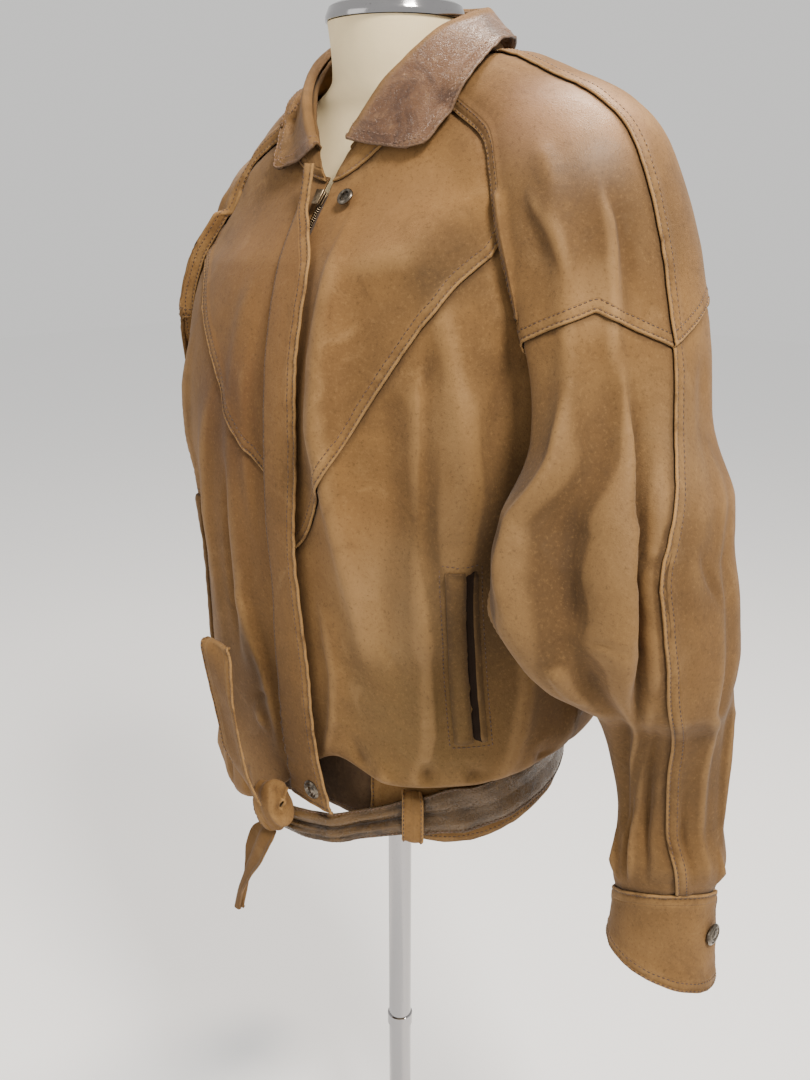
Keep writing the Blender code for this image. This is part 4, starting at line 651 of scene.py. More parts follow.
def stitch_line(grid, edge, distance):
    """Marks a row of stitches on a piece, that far in from one of its edges."""
    turns = TURNS[edge]
    flat, d = np.rot90(grid, turns), np.rot90(edge_distance(grid, edge), turns)
    normals = np.rot90(grid_normals(grid), turns)
    path, ways = [], []
    for k in range(flat.shape[1]):
        i = int(np.searchsorted(d[:, k], distance))
        if i == 0 or i >= len(flat):
            continue
        t = (distance - d[i - 1, k]) / max(d[i, k] - d[i - 1, k], 1e-9)
        path.append(flat[i - 1, k] * (1 - t) + flat[i, k] * t)
        ways.append(normals[i, k])
    THREAD.append((np.array(path), np.array(ways), ROW_END))


def dressed(piece, node, cut, finish, slot="tan_leather", held="draped", rests_on=()):
    """Gives a piece its finish, attaches it to the jacket and hides its node; cut is the cloth it was cut from."""
    piece.data.materials.append(finish)
    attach(piece, "jacket")
    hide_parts(node)
    wide, long, area = cut_size(cut)


def made_up(node, cut, sewn_parts, finish, wall=LEATHER, rows=(), worn=None, **said):
    """Closes a sewn piece into a wall, dresses it and marks its rows of stitches by edge and distance."""
    shaped, seam, stitched = sewn_parts
    fields = {"relief": relief_of(shaped), "seam": seam, "stitched": stitched}
    if worn is not None:
        fields["worn"] = worn
    piece = leather_wall(node + "_leather", shaped, wall, fields)
    dressed(piece, node, cut, finish, **said)
    for edge, distance in rows:
        stitch_line(shaped, edge, distance)
    return piece


def sew(name, finish):
    """One mesh of small rounded stitches for every row marked since the last call."""
    shape = []
    for x, r in ((-0.5, 0.40), (0.0, 1.0), (0.5, 0.40)):
        for k in range(5):
            turn = 2 * math.pi * k / 5
            shape.append((x * STITCH_LENGTH, r * THREAD_WIDTH * 1.25 * math.cos(turn),
                          r * THREAD_WIDTH * math.sin(turn)))
    shape = np.array(shape)
    ring = [[5 * j + k, 5 * j + (k + 1) % 5, 5 * j + 5 + (k + 1) % 5, 5 * j + 5 + k]
            for j in range(2) for k in range(5)]
    caps = [[4, 3, 2, 1, 0], [10, 11, 12, 13, 14]]
    points, faces = [], []
    for path, ways, bare in THREAD:
        if len(path) < 3:
            continue
        run = run_along(path)
        for at in np.arange(bare + STITCH_PITCH / 2, run[-1] - bare, STITCH_PITCH):
            centre = on_path(path, run, at)
            along = unit(on_path(path, run, at + 0.001) - centre)
            across = unit(np.cross(unit(on_path(ways, run, at)), along))
            up = np.cross(along, across)
            start = len(points)
            points.extend((centre + shape @ np.array([along, across, up]) - up * THREAD_WIDTH * 0.15).tolist())
            faces.extend([[start + k for k in face] for face in ring + caps])
    THREAD.clear()
    piece = new_piece(name, points, faces)
    piece.data.shade_smooth()
    piece.data.materials.append(finish)
    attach(piece, "jacket")


def thread(name, colour):
    """Waxed polyester thread, a little shiny, with a soiled tone that varies."""
    made, tree, shader, where = material(name)
    soil = speckle(where, 60.0, 3.0)
    tone = ground(tree, colour).mixed(dim(colour, 0.4), soil.span(0.4, 0.65) * 0.8)
    into(shader, Base_Color=tone, Roughness=0.55)
    return made


tan_thread = thread("tan_thread", (0.070, 0.032, 0.014))

CELL = 0.0034              # spacing of the cloth's points


def cells(length):
    """How many cells of cloth that length takes."""
    return max(int(round(length / CELL)), 4)


def raglan_front(side, first, last):
    """The front raglan seam between two sections of the sleeve, as angles and heights."""
    v = column(RAGLAN_DROP, "v_front", np.linspace(first, last, 60))
    return np.stack([side * column(RAGLAN_FRONT, "angle", v), v], -1)


def turned_out(grid, side):
    """The grid with its columns running to the right, seen from outside, on either side."""
    return grid if side > 0 else grid[:, ::-1]


trunk_grids, sewn_trunk, neck_edges = {}, {}, {}
lip_rows = np.concatenate([np.linspace(V_SEAM, V_LIP, 16), np.linspace(V_LIP, V_FREE, 11)[1:]])
for side, name in SIDES:
    across, up_low, up_high = cells(0.27), cells(0.30), cells(0.17)
    outer = np.concatenate([[(side * 90, V_FREE)], raglan_front(side, RAGLAN_DROP[-1].s, S_DIAGONAL)])
    outer = np.concatenate([[(side * 90, v) for v in lip_rows], evenly(outer, up_low)[1:]])
    rows = DIAGONAL_LEFT if side > 0 else DIAGONAL_RIGHT
    turn = np.linspace(abs(float(beside_zip(rows[0].v, side))), rows[-1].angle, 80)
    diagonal = evenly(np.stack([turn * side, column(rows, "v", turn)], -1), across)
    diagonal[-1] = outer[-1]
    hem = np.stack([np.linspace(float(beside_zip(V_SEAM, side)), side * 90, across + 1),
                    np.full(across + 1, V_SEAM)], -1)
    v = np.concatenate([lip_rows, np.linspace(V_FREE, diagonal[0, 1], up_low + 1)[1:]])
    lower = patch(hem, diagonal, np.stack([beside_zip(v, side), v], -1), outer)
    raglan = evenly(raglan_front(side, S_DIAGONAL, 0), up_high)
    first = float(beside_zip(V_NECK_FRONT, side))
    u = np.linspace(0, 1, across + 1)
    neck = np.stack([first + (raglan[-1, 0] - first) * u,
                     V_NECK_FRONT + (raglan[-1, 1] - V_NECK_FRONT) * u ** 1.5], -1)
    v = np.linspace(diagonal[0, 1], V_NECK_FRONT, up_high + 1)
    upper = patch(diagonal, neck, np.stack([beside_zip(v, side), v], -1), raglan)
    for part, pairs in (("lower", lower), ("upper", upper)):
        trunk_grids["front_%s_%s" % (name, part)] = turned_out(trunk(pairs[..., 0], pairs[..., 1]), side)
    neck_edges[name] = trunk(neck[:, 0], neck[:, 1])

v = column(RAGLAN_DROP, "v_back", np.linspace(RAGLAN_DROP[-1].s, 0, 120))
raglan = np.stack([column(RAGLAN_BACK, "angle", v), v], -1)
left_edge = evenly(np.concatenate([[(90, V_FREE)], raglan]), cells(0.55))
left_edge = np.concatenate([[(90, v) for v in lip_rows], left_edge[1:]])
right_edge = left_edge * (-1, 1) + (360, 0)
across = cells(0.46)
hem = np.stack([np.linspace(90, 270, across + 1), np.full(across + 1, V_SEAM)], -1)
u = np.linspace(0, 1, across + 1)
corner = left_edge[-1]
neck = np.stack([np.linspace(corner[0], 360 - corner[0], across + 1),
                 corner[1] + (V_NECK_BACK - corner[1]) * np.sin(np.pi * u)], -1)
pairs = patch(hem, neck, left_edge, right_edge)
trunk_grids["back"] = trunk(pairs[..., 0], pairs[..., 1])
neck_edges["back"] = trunk(neck[:, 0], neck[:, 1])

for name, grid in trunk_grids.items():
    outer_edge = "last" if "left" in name else "first"
    over, under = {"lower": ((), ("high", outer_edge, "low")), "upper": (("low",), (outer_edge, "high"))}.get(
        name.rsplit("_", 1)[-1], ((), ("low", "first", "last", "high")))
    parts = sewn(grid, over, under)
    sewn_trunk[name] = parts[0]
    rows = [("low", ROW), ("low", SECOND_ROW)] if "upper" in name else []
    made_up(name, grid, parts, tan_nubuck, rows=rows, rests_on=["form_torso"])
sew("front_stitches", tan_thread)


# ---------------------------------------------------------------------------
# Raglan sleeves: a yoke over each shoulder and a full tube below a peaked cross
# seam, each cut as a front and a back half. The same nubuck, lapped over the
# trunk and along the arm with a folded edge and two rows of topstitching.
# ---------------------------------------------------------------------------
# sleeve sections from the neck (s 0) by the cross seam (6) and underarm (8) to the cuff (17)
ARM = table("s x y z azimuth rise lead out inner front back span v_front v_back", [
    (0, 0.0707, 0.006, 0.556, 90, 78, 0, 0.036, 0.00, 0.045, 0.042, 0, 0.565, 0.597),
    (1, 0.1012, 0.008, 0.538, 90, 74, 14, 0.051, 0.00, 0.058, 0.062, 0, 0.545, 0.580),
    (2, 0.1256, 0.010, 0.516, 90, 66, 16, 0.063, 0.02, 0.068, 0.068, 0, 0.525, 0.560),
    (3, 0.1440, 0.010, 0.495, 90, 50, 16, 0.078, 0.03, 0.078, 0.074, 4, 0.505, 0.530),
    (4, 0.1500, 0.010, 0.481, 90, 32, 16, 0.086, 0.04, 0.086, 0.079, 8, 0.482, 0.495),
    (5, 0.1620, 0.008, 0.455, 90, 12, 16, 0.086, 0.04, 0.092, 0.086, 14, 0.445, 0.450),
    (6, 0.1860, -0.002, 0.399, 88, 3, 12, 0.078, 0.04, 0.096, 0.090, 26, 0.395, 0.395),
    (7, 0.2100, -0.022, 0.345, 82, 0, 7, 0.068, 0.04, 0.096, 0.084, 50, 0.345, 0.345),
    (8, 0.2440, -0.040, 0.300, 66, 0, 5, 0.060, 0.042, 0.094, 0.078, 90, 0.300, 0.300),
    (9, 0.2520, -0.050, 0.268, 60, 0, 5, 0.060, 0.055, 0.096, 0.076, 90, 0.300, 0.300),
    (10, 0.2580, -0.052, 0.235, 58, 0, 2, 0.057, 0.064, 0.096, 0.080, 90, 0.300, 0.300),
    (11, 0.2620, -0.045, 0.198, 54, 0, 0, 0.056, 0.064, 0.084, 0.076, 90, 0.300, 0.300),
    (12, 0.2640, -0.031, 0.165, 50, 0, 1, 0.058, 0.058, 0.062, 0.062, 90, 0.300, 0.300),
    (13, 0.2670, -0.012, 0.138, 48, 0, 6, 0.047, 0.047, 0.046, 0.048, 90, 0.300, 0.300),
    (14, 0.2710, -0.002, 0.100, 42, 0, 11, 0.042, 0.042, 0.041, 0.042, 90, 0.300, 0.300),
    (15, 0.2750, 0.004, 0.050, 38, 0, 13, 0.040, 0.038, 0.038, 0.040, 90, 0.300, 0.300),
    (16, 0.2770, 0.004, 0.012, 42, 0, 8, 0.044, 0.041, 0.041, 0.043, 90, 0.300, 0.300),
    (17, 0.2770, 0.004, -0.014, 43, 0, 4, 0.039, 0.036, 0.038, 0.038, 90, 0.300, 0.300),
])
S_LOOSE, S_CROSS, S_UNDERARM, S_CUFF = 3.5, 6, 8, 17
CUFF_TILT = 0.020          # how much higher the cuff's seam is on the side facing front left
CHEVRON = 0.38             # how far the cross seam peaks up the sleeve, in rows of ARM
RIGHT_SWING, RIGHT_TUCK, RIGHT_SLUMP = 0.118, 0.031, 0.037   # back, in and down from the left sleeve's place
SLEEVE_GIRTH, SLEEVE_STEP = 0.42, 0.042    # metres in a turn round the sleeve and from one section to the next
SLEEVE_CREASING = 1.4                      # how much deeper the creases are pressed than their table says
SLEEVE_FOLDS = [  # at is the turn round the sleeve (0 front seam, 0.5 over-arm seam); up is the section
    [(.25, 3.5, 3, 16), (.27, 6, 7, 16), (.31, 9, 10, 17), (.33, 11.5, 8, 17)],
    [(.36, 6.5, -7, 13), (.37, 9, -14, 13), (.4, 12, -11, 11), (.34, 15, -4, 10)],
    [(.6, 6.5, -3, 14), (.62, 9, -8, 15), (.62, 12, -6, 13)],
]
SLEEVE_CREASES = {  # widths towards the front seam and towards the back seam
    "left": [
        [(.365, 5.6, 0, 18, 6), (.385, 6.3, 4, 18, 5), (.405, 6.95, 6.5, 20, 4.5), (.44, 8, 8.5, 20, 4.5),
         (.452, 8.7, 9.5, 20, 4.5), (.45, 10, 9.5, 20, 4.5), (.44, 10.9, 7, 16, 4.5), (.42, 11.8, 3, 12, 5),
         (.4, 12.5, 0, 10, 5)],
        [(.4, 6.2, 0, 4, 8), (.42, 6.9, -5, 4, 9), (.456, 8, -9, 4.5, 9), (.468, 8.7, -11, 4.5, 9),
         (.466, 10, -11, 4.5, 9), (.458, 11.3, -11, 5, 9), (.43, 13, -9, 5, 9), (.385, 14.7, -6, 5, 8),
         (.345, 15.9, -3, 4, 7), (.335, 16.6, 0, 4, 6)],
        [(.46, 6.4, 0, 8, 10), (.486, 7.65, 3, 6, 10), (.488, 9, 3.5, 6, 10), (.484, 10.1, 4, 6, 10),
         (.456, 11.8, 5, 6, 9), (.408, 13.7, 6, 6, 8), (.37, 15.65, 4, 5, 7), (.36, 16.7, 0, 5, 6)],
        [(.492, 10.8, 0, 5, 8), (.478, 12, -3, 5, 9), (.452, 13.8, -5, 5, 9), (.43, 15, -5, 5, 8),
         (.41, 16.4, -1, 4, 6)],
        [(.4, 10.28, 0, 2, 2), (.42, 10.14, -1.4, 2, 2), (.455, 10.48, 0, 2, 2)],
        [(.262, 6.3, 0, 5, 12), (.275, 6.8, 3.5, 5, 13), (.3, 7.5, 5, 5, 14), (.31, 8.4, 5, 5, 14),
         (.32, 9.4, 3, 5, 14), (.325, 10.2, 0, 5, 12)],
        [(.352, 7.2, 0, 10, 10), (.372, 8.2, -2.5, 12, 10), (.388, 9.3, -3, 12, 10), (.392, 10.2, 0, 10, 8)],
        [(.372, 9.6, 0, 6, 12), (.388, 10.3, 3.5, 5, 12), (.362, 11, 6, 4, 10), (.366, 11.6, 4, 4, 9),
         (.38, 11.9, 0, 4, 8)],
        [(.372, 4.2, 0, 14, 6), (.388, 4.8, 3.5, 14, 4), (.38, 5.3, 4, 13, 4), (.372, 5.85, 2, 12, 4)],
        [(.4, 4.4, 0, 4, 10), (.412, 4.9, -3, 4, 10), (.404, 5.5, -3, 4, 10), (.396, 5.9, 0, 4, 8)],
        [(.17, 3.9, 0, 6, 10), (.2, 4.3, 3, 6, 12), (.255, 4.9, 3, 7, 12), (.3, 5.4, 0, 7, 10)],
        [(.6, 6.6, 0, 10, 8), (.615, 7.6, 3, 10, 8), (.62, 8.8, 3.5, 10, 7), (.612, 10.5, 3.5, 10, 7),
         (.602, 12.5, 3.5, 10, 7), (.6, 14.5, 3, 8, 6), (.6, 16.7, 0, 6, 6)],
        [(.56, 8.4, 0, 4, 6), (.575, 8.9, -1.8, 3, 5), (.6, 9.5, -1.8, 3, 5), (.615, 10.1, 0, 3, 5)],
        [(.545, 13.8, 0, 6, 6), (.548, 15.2, -3, 5, 5), (.548, 16.5, 0, 5, 5)],
        [(.285, 15.2, 0, 5, 5), (.29, 16, 4, 5, 5), (.292, 16.8, 0, 4, 4)],
        [(.24, 12.6, 0, 6, 8), (.235, 13.6, -3.5, 5, 7), (.23, 14.8, -3, 5, 7), (.225, 16.2, 0, 5, 6)],
        [(.12, 11.6, 0, 8, 10), (.13, 12.4, 5, 7, 9), (.14, 13.4, 4, 6, 9), (.14, 14.6, 0, 6, 8)],
        [(.1, 8.8, 0, 10, 8), (.13, 9.6, 5, 10, 7), (.18, 10.4, 5, 10, 6), (.24, 11.2, 0, 10, 6)],
        [(.7, 11.8, 0, 6, 10), (.71, 12.8, 5, 6, 9), (.7, 14, 4.5, 6, 8), (.69, 15.6, 0, 6, 8)],
        [(.76, 8.6, 0, 8, 12), (.775, 9.8, 5.5, 7, 12), (.77, 11, 5, 7, 10), (.755, 12, 0, 7, 10)],
        [(.8, 12.4, 0, 6, 8), (.805, 13.4, -4, 5, 8), (.8, 14.8, -3.5, 5, 8), (.795, 16.2, 0, 5, 6)],
        [(.88, 11.8, 0, 7, 9), (.89, 13, 4.5, 6, 9), (.89, 14.6, 3.5, 6, 8), (.89, 16.2, 0, 6, 6)],
        [(.66, 15.4, 0, 4, 5), (.66, 16.2, 3, 4, 5), (.66, 16.8, 0, 4, 5)],
        [(.86, 6.6, 0, 10, 8), (.85, 7.6, 5, 10, 7), (.87, 8.8, 4.5, 10, 7), (.9, 9.8, 0, 10, 7)],
    ],
    "right": [
        [(.3, 5.4, 0, 10, 10), (.32, 6.6, 5, 14, 6), (.345, 8, 7, 16, 5), (.36, 9.4, 8, 16, 5),
         (.365, 10.8, 6, 14, 5), (.35, 12.2, 0, 10, 6)],
        [(.33, 6.4, 0, 5, 8), (.362, 8, -6, 5, 9), (.378, 9.6, -8, 5, 9), (.38, 11.2, -7, 5, 9), (.36, 13, -5, 5, 8),
         (.33, 15.6, 0, 5, 7)],
        [(.44, 6.6, 0, 10, 8), (.45, 8.2, 4, 10, 7), (.445, 10.2, 5, 10, 7), (.43, 12.4, 5, 9, 7),
         (.415, 14.6, 3.5, 8, 6), (.41, 16.6, 0, 6, 6)],
        [(.56, 6.8, 0, 8, 10), (.575, 8.6, 4, 8, 10), (.58, 10.6, 5, 7, 10), (.57, 12.6, 4, 7, 9), (.565, 15, 0, 6, 8)],
        [(.64, 9, 0, 6, 9), (.655, 10.4, -5, 5, 9), (.65, 12, -5, 5, 8), (.64, 14, 0, 5, 8)],
        [(.14, 8.8, 0, 10, 8), (.17, 9.8, 5, 10, 7), (.21, 10.8, 5, 10, 6), (.26, 11.8, 0, 10, 6)],
        [(.2, 12.8, 0, 6, 8), (.205, 14, -4, 5, 7), (.21, 15.8, 0, 5, 6)],
        [(.3, 14.2, 0, 6, 6), (.3, 15.4, 4, 5, 6), (.3, 16.8, 0, 4, 5)],
        [(.72, 8, 0, 8, 12), (.74, 9.4, 6, 7, 12), (.75, 10.8, 5, 7, 10), (.745, 12.2, 0, 7, 10)],
        [(.7, 12.6, 0, 6, 9), (.705, 14, 4, 6, 8), (.7, 16, 0, 6, 6)],
        [(.82, 12, 0, 6, 8), (.825, 13.4, -4.5, 5, 8), (.82, 15.6, 0, 5, 7)],
        [(.5, 15, 0, 4, 5), (.48, 16, -3, 4, 5), (.48, 16.8, 0, 4, 4)],
        [(.3, 3.4, 0, 10, 8), (.33, 4.2, 3, 10, 6), (.345, 5, 3.5, 10, 6), (.35, 5.7, 0, 10, 6)],
        [(.87, 7, 0, 10, 8), (.86, 8, 5, 10, 7), (.88, 9.4, 4.5, 10, 7), (.9, 10.6, 0, 10, 7)],
    ],
}


def direction(azimuth, rise=0.0):
    """Unit vectors; azimuth 0 points to the front (-Y) and 90 to the wearer's left (+X)."""
    turn, lift = np.radians(azimuth), np.radians(rise)
    flat = np.cos(lift)
    return np.stack(np.broadcast_arrays(flat * np.sin(turn), -flat * np.cos(turn), np.sin(lift)), -1)


OVERHANG = {  # how far a fold leans over the hollow behind it; its height is in thousandths of a turn
    "left": [
        [(.372, 6.2, 0, 22, 7), (.4, 6.9, 12, 24, 8), (.438, 8, 22, 26, 8), (.45, 9.2, 24, 26, 8),
         (.448, 10.4, 20, 24, 8), (.43, 11.6, 8, 20, 8), (.405, 12.6, 0, 16, 8)],
    ],
    "right": [
        [(.325, 6.8, 0, 20, 7), (.35, 8.2, 14, 22, 8), (.362, 9.6, 16, 22, 8), (.36, 11, 10, 20, 8),
         (.345, 12.2, 0, 16, 8)],
    ],
}


def arm(side, turn, s, creased=True):
    """Points of a sleeve's outer surface, from turns round it and places down its sections."""
    turn, s = np.broadcast_arrays(np.asarray(turn, float), np.asarray(s, float))
    row = row_at(ARM, s)
    right = side < 0
    slump = (RIGHT_DROP + (RIGHT_SLUMP - RIGHT_DROP) * ease(s / 2.5)) * right
    swing, tuck = RIGHT_SWING * ease((s - 2.5) / 7) * right, RIGHT_TUCK * ease(s / 4) * right
    centre = np.stack([row["x"] - tuck, row["y"] + swing, row["z"] - slump], -1)
    outward, forward = direction(row["azimuth"], row["rise"]), direction(row["azimuth"] - 90)

    def ring(angle):
        ahead, outer = np.cos(angle), np.sin(angle)
        reach = np.where(ahead > 0, row["front"], row["back"]) * ahead
        depth = np.where(outer > 0, row["out"], row["inner"]) * outer
        return centre + forward * reach[..., None] + outward * depth[..., None]

    hand = "right" if right else "left"
    shown = turn + (creases(OVERHANG[hand], turn, s, SLEEVE_GIRTH, -SLEEVE_STEP) if creased else 0)
    psi = np.radians(-row["span"] + shown * (180 + 2 * row["span"]) - row["lead"] * np.sin(np.pi * turn))
    point = ring(psi)
    point[..., 2] += CUFF_TILT * ease((s - 13) / 4) * np.cos(psi - np.pi / 2)
    bulge = folds(SLEEVE_FOLDS, turn, s, SLEEVE_GIRTH, SLEEVE_STEP) * ease(turn / 0.12) * ease((1 - turn) / 0.12)
    if creased:
        depth = SLEEVE_CREASING * creases(SLEEVE_CREASES[hand], turn, s, SLEEVE_GIRTH, -SLEEVE_STEP)
        bulge = bulge + depth * ease(turn / 0.04) * ease((1 - turn) / 0.04)
    hub = np.stack([centre[..., 0], centre[..., 1], np.where(s >= S_CROSS, point[..., 2], centre[..., 2])], -1)
    point = point + unit(point - hub) * bulge[..., None]
    fade = 1 - ease((s - S_UNDERARM) / 3)
    front = trunk(side * column(RAGLAN_FRONT, "angle", row["v_front"]), row["v_front"])
    back = trunk(side * column(RAGLAN_BACK, "angle", row["v_back"]), row["v_back"])
    flip = np.array([side, 1, 1])
    drop = np.array([0, 0, HANG])
    start, end = ring(np.radians(-row["span"])), ring(np.radians(180 + row["span"]))
    pull = (front * flip - drop - start) * ((1 - turn) ** 4)[..., None]
    pull = pull + (back * flip - drop - end) * (turn ** 4)[..., None]
    pull[..., 2] *= s <= S_UNDERARM
    point = point + pull * fade[..., None]
    return point * flip + drop


LIFT_REACH = 0.05          # how far a piece looks for the surface that it has to clear


def tree_of(grids):
    """A search tree over several grids."""
    points, faces = [], []
    for grid in grids:
        rows, columns = grid.shape[:2]
        index = np.arange(rows * columns).reshape(rows, columns) + len(points)
        points += grid.reshape(-1, 3).tolist()
        corners = [index[:-1, :-1], index[:-1, 1:], index[1:, 1:], index[1:, :-1]]
        faces += np.stack(corners, -1).reshape(-1, 4).tolist()
    return BVHTree.FromPolygons(points, faces)


def lifted(grid, tree, gaps):
    """The grid, moved softly off a surface where it lies closer than the gap or behind it."""
    result = grid.copy()
    for j, i in np.ndindex(grid.shape[:2]):
        if gaps[j, i] <= 0:
            continue
        point = Vector(grid[j, i])
        for _ in range(2):
            hit, normal, _, distance = tree.find_nearest(point, LIFT_REACH)
            if hit is None:
                break
            height = (point - hit).dot(normal)
            if height >= gaps[j, i] or (distance > 0.001 and abs(height) < 0.7 * distance):
                break
            point = point + normal * (gaps[j, i] - height)
        result[j, i] = point
    return grid + blurred(result - grid, 2)


SLEEVE_CLEAR = 0.006       # gap kept to the trunk from section 11 down; twice that above section 9
sleeve_grids = {}
trunk_tree = tree_of(trunk_grids.values())
for side, name in SIDES:
    for half, first, last in (("front", 0.0, 0.5), ("back", 0.5, 1.0)):
        across = cells(0.24)
        turns = np.linspace(first, last, across + 1)
        short = np.minimum(turns, 1 - turns)
        peak = np.minimum(3 * short, 6 * (0.5 - short))
        cross = np.stack([turns, S_CROSS - CHEVRON * peak], -1)
        top = np.stack([turns, np.zeros_like(turns)], -1)
        down = np.linspace(S_CROSS, 0, cells(0.22) + 1)
        yoke = patch(cross, top, *(np.stack([np.full_like(down, end), down], -1) for end in (first, last)))
        cuff = np.stack([turns, np.full_like(turns, S_CUFF)], -1)
        down = np.linspace(S_CUFF, S_CROSS, cells(0.43) + 1)
        tube = patch(cuff, cross, *(np.stack([np.full_like(down, end), down], -1) for end in (first, last)))
        for part, pairs in (("yoke_", yoke), ("", tube)):
            turn, s = pairs[..., 0], pairs[..., 1]
            grid = arm(side, turn, s)
            beyond = np.minimum(turn, 1 - turn) * SLEEVE_GIRTH + np.maximum(s - S_UNDERARM, 0) * 0.034
            clear = SLEEVE_CLEAR * (2 - ease((s - 9) / 2))
            gaps = np.where((s > S_LOOSE) & (beyond > 0.001), np.minimum(clear, beyond * 0.6), 0)
            sleeve_grids["sleeve_%s_%s%s" % (name, part, half)] = turned_out(lifted(grid, trunk_tree, gaps), side)
        neck_edges[name + "_" + half] = arm(side, turns, 0.0)

for name, grid in sleeve_grids.items():
    left, front_half, yoke = "left" in name, name.endswith("front"), "yoke" in name
    seam_edge, arm_edge = ("first", "last") if left == front_half else ("last", "first")
    over, under = ([seam_edge, "low"], ["high"]) if yoke else ([seam_edge], ["high", "low"])
    (under if front_half else over).append(arm_edge)
    rows = [(edge, distance) for edge in over for distance in (ROW, SECOND_ROW)]
    made_up(name, grid, sewn(grid, over, under), tan_nubuck, rows=rows, rests_on=["form_torso"] if yoke else [])
sew("sleeve_stitches", tan_thread)


# ---------------------------------------------------------------------------
# Waistband: one long strip round the sides and back and two short fronts, cut
# from the same nubuck doubled over at the rim, which is topstitched. The
# trunk's gathered lower edge is sewn into its top.
# ---------------------------------------------------------------------------
BAND_SPLIT = 31.2          # angle at which the short front strips end
BAND_RADIUS, BAND_ROWS = 0.14, 24


def band(angle, drop, lift=0.0):
    """Points of the waistband; drop runs from 0 at its seam to 1 at its rim."""
    angle, drop, lift = np.broadcast_arrays(*(np.asarray(a, float) for a in (angle, drop, lift)))
    top = trunk(angle, V_SEAM)
    rim = column(HEM, "rim", (angle + 180) % 360 - 180) + HANG
    point = top + unit(top * (1, 1, 0)) * (0.003 * drop + lift)[..., None]
    point[..., 2] = top[..., 2] + (rim - top[..., 2]) * drop
    return point


band_strips = {
    "waistband_front_left": (float(beside_zip(V_SEAM, 1)), BAND_SPLIT),
    "waistband": (BAND_SPLIT, 360 - BAND_SPLIT),
    "waistband_front_right": (-BAND_SPLIT, float(beside_zip(V_SEAM, -1))),
}
# Painted shade: the two short front strips get a darker copy of the same nubuck, for the shade they lie in under the
# bloused front.
painted_shade_nubuck = nubuck("painted_shade_nubuck", (0.085, 0.046, 0.020), (0.040, 0.021, 0.009), (0.16, 0.09, 0.04), patches=False)
for name, (first, last) in band_strips.items():
    angles = np.linspace(first, last, cells(math.radians(last - first) * BAND_RADIUS) + 1)
    grid = band(angles[None], np.linspace(1, 0, BAND_ROWS)[:, None])
    over = ("first", "last") if name == "waistband" else ()
    under = () if name == "waistband" else ("last" if "left" in name else "first",)
    shaped, seam, stitched = sewn(grid, over, under, ("low",), lap=0.0008, pucker=0.0006, slack=0.0012)
    stitched = np.minimum(stitched, np.abs(edge_distance(shaped, "low")))
    made_up(name, grid, (shaped, seam, stitched), tan_nubuck if name == "waistband" else painted_shade_nubuck,
            rows=[("low", SECOND_ROW)] + [(edge, ROW) for edge in over], held="gathered",
            rests_on=["front_left_lower", "back"])
sew("waistband_stitches", tan_thread)


# ---------------------------------------------------------------------------
# Collar: a low stand round the neck and a leaf that rolls over it and falls on
# the shoulders, two plies sewn edge to edge. Skin and hair have made the left
# fall dark, smooth and shiny; its edge carries two rows of stitches.
# ---------------------------------------------------------------------------
COLLAR_COLUMNS = "t roll_angle roll_radius roll_z leaf_angle leaf_radius leaf_z"
COLLAR_LEFT = table(COLLAR_COLUMNS, [  # from the front end (t 0) round to the centre back (t 1)
    (0.00, 14, 0.0790, 0.535, 50, 0.1110, 0.5240), (0.22, 36, 0.0740, 0.577, 67, 0.1120, 0.5640),
    (0.50, 68, 0.0670, 0.610, 90, 0.0980, 0.6020), (0.75, 112, 0.0630, 0.625, 120, 0.0860, 0.6060),
    (1.00, 180, 0.0590, 0.635, 180, 0.0860, 0.5830),
])
COLLAR_RIGHT = table(COLLAR_COLUMNS, [
    (0.00, 9, 0.0800, 0.529, 40, 0.1040, 0.5110), (0.22, 34, 0.0735, 0.566, 54, 0.0920, 0.5300),
    (0.50, 68, 0.0665, 0.597, 84, 0.0830, 0.5560), (0.75, 112, 0.0630, 0.620, 120, 0.0830, 0.5850),
    (1.00, 180, 0.0590, 0.635, 180, 0.0860, 0.5830),
])
PLY = 0.0024               # two thinned layers of nubuck
NECK_CENTRE_Y = 0.004
LEAF_CELLS = 34            # from the collar's stand, over its roll, to the leaf's edge
CORNER = 0.013             # radius of the leaf's rounded front corners


def collar_line(t, side, kind):
    """Points of the collar's roll or of its leaf's edge, from the front end round to the back."""
    angle, radius, z = (np.where(side > 0, *(column(rows, kind + "_" + name, t) for rows in
                                            (COLLAR_LEFT, COLLAR_RIGHT))) for name in ("angle", "radius", "z"))
    turn = np.radians(angle) * side
    return np.stack([radius * np.sin(turn), NECK_CENTRE_Y - radius * np.cos(turn), z + HANG], -1)


def curve_through(knots, count):
    """Points at even steps along a smooth curve through each column of knots, and each curve's length."""
    padded = np.concatenate([2 * knots[:1] - knots[1:2], knots, 2 * knots[-1:] - knots[-2:-1]])
    fine = []
    for i in range(len(knots) - 1):
        a, b, c, d = padded[i:i + 4]
        for t in np.linspace(0, 1, 13)[:-1 if i < len(knots) - 2 else None]:
            fine.append(0.5 * (2 * b + (c - a) * t + (2 * a - 5 * b + 4 * c - d) * t ** 2
                               + (3 * b - a - 3 * c + d) * t ** 3))
    fine = np.stack(fine)
    run = run_along(fine)
    result = [on_path(fine[:, i], run[:, i], np.linspace(0, run[-1, i], count + 1)) for i in range(fine.shape[1])]
    return np.stack(result, 1), run[-1]


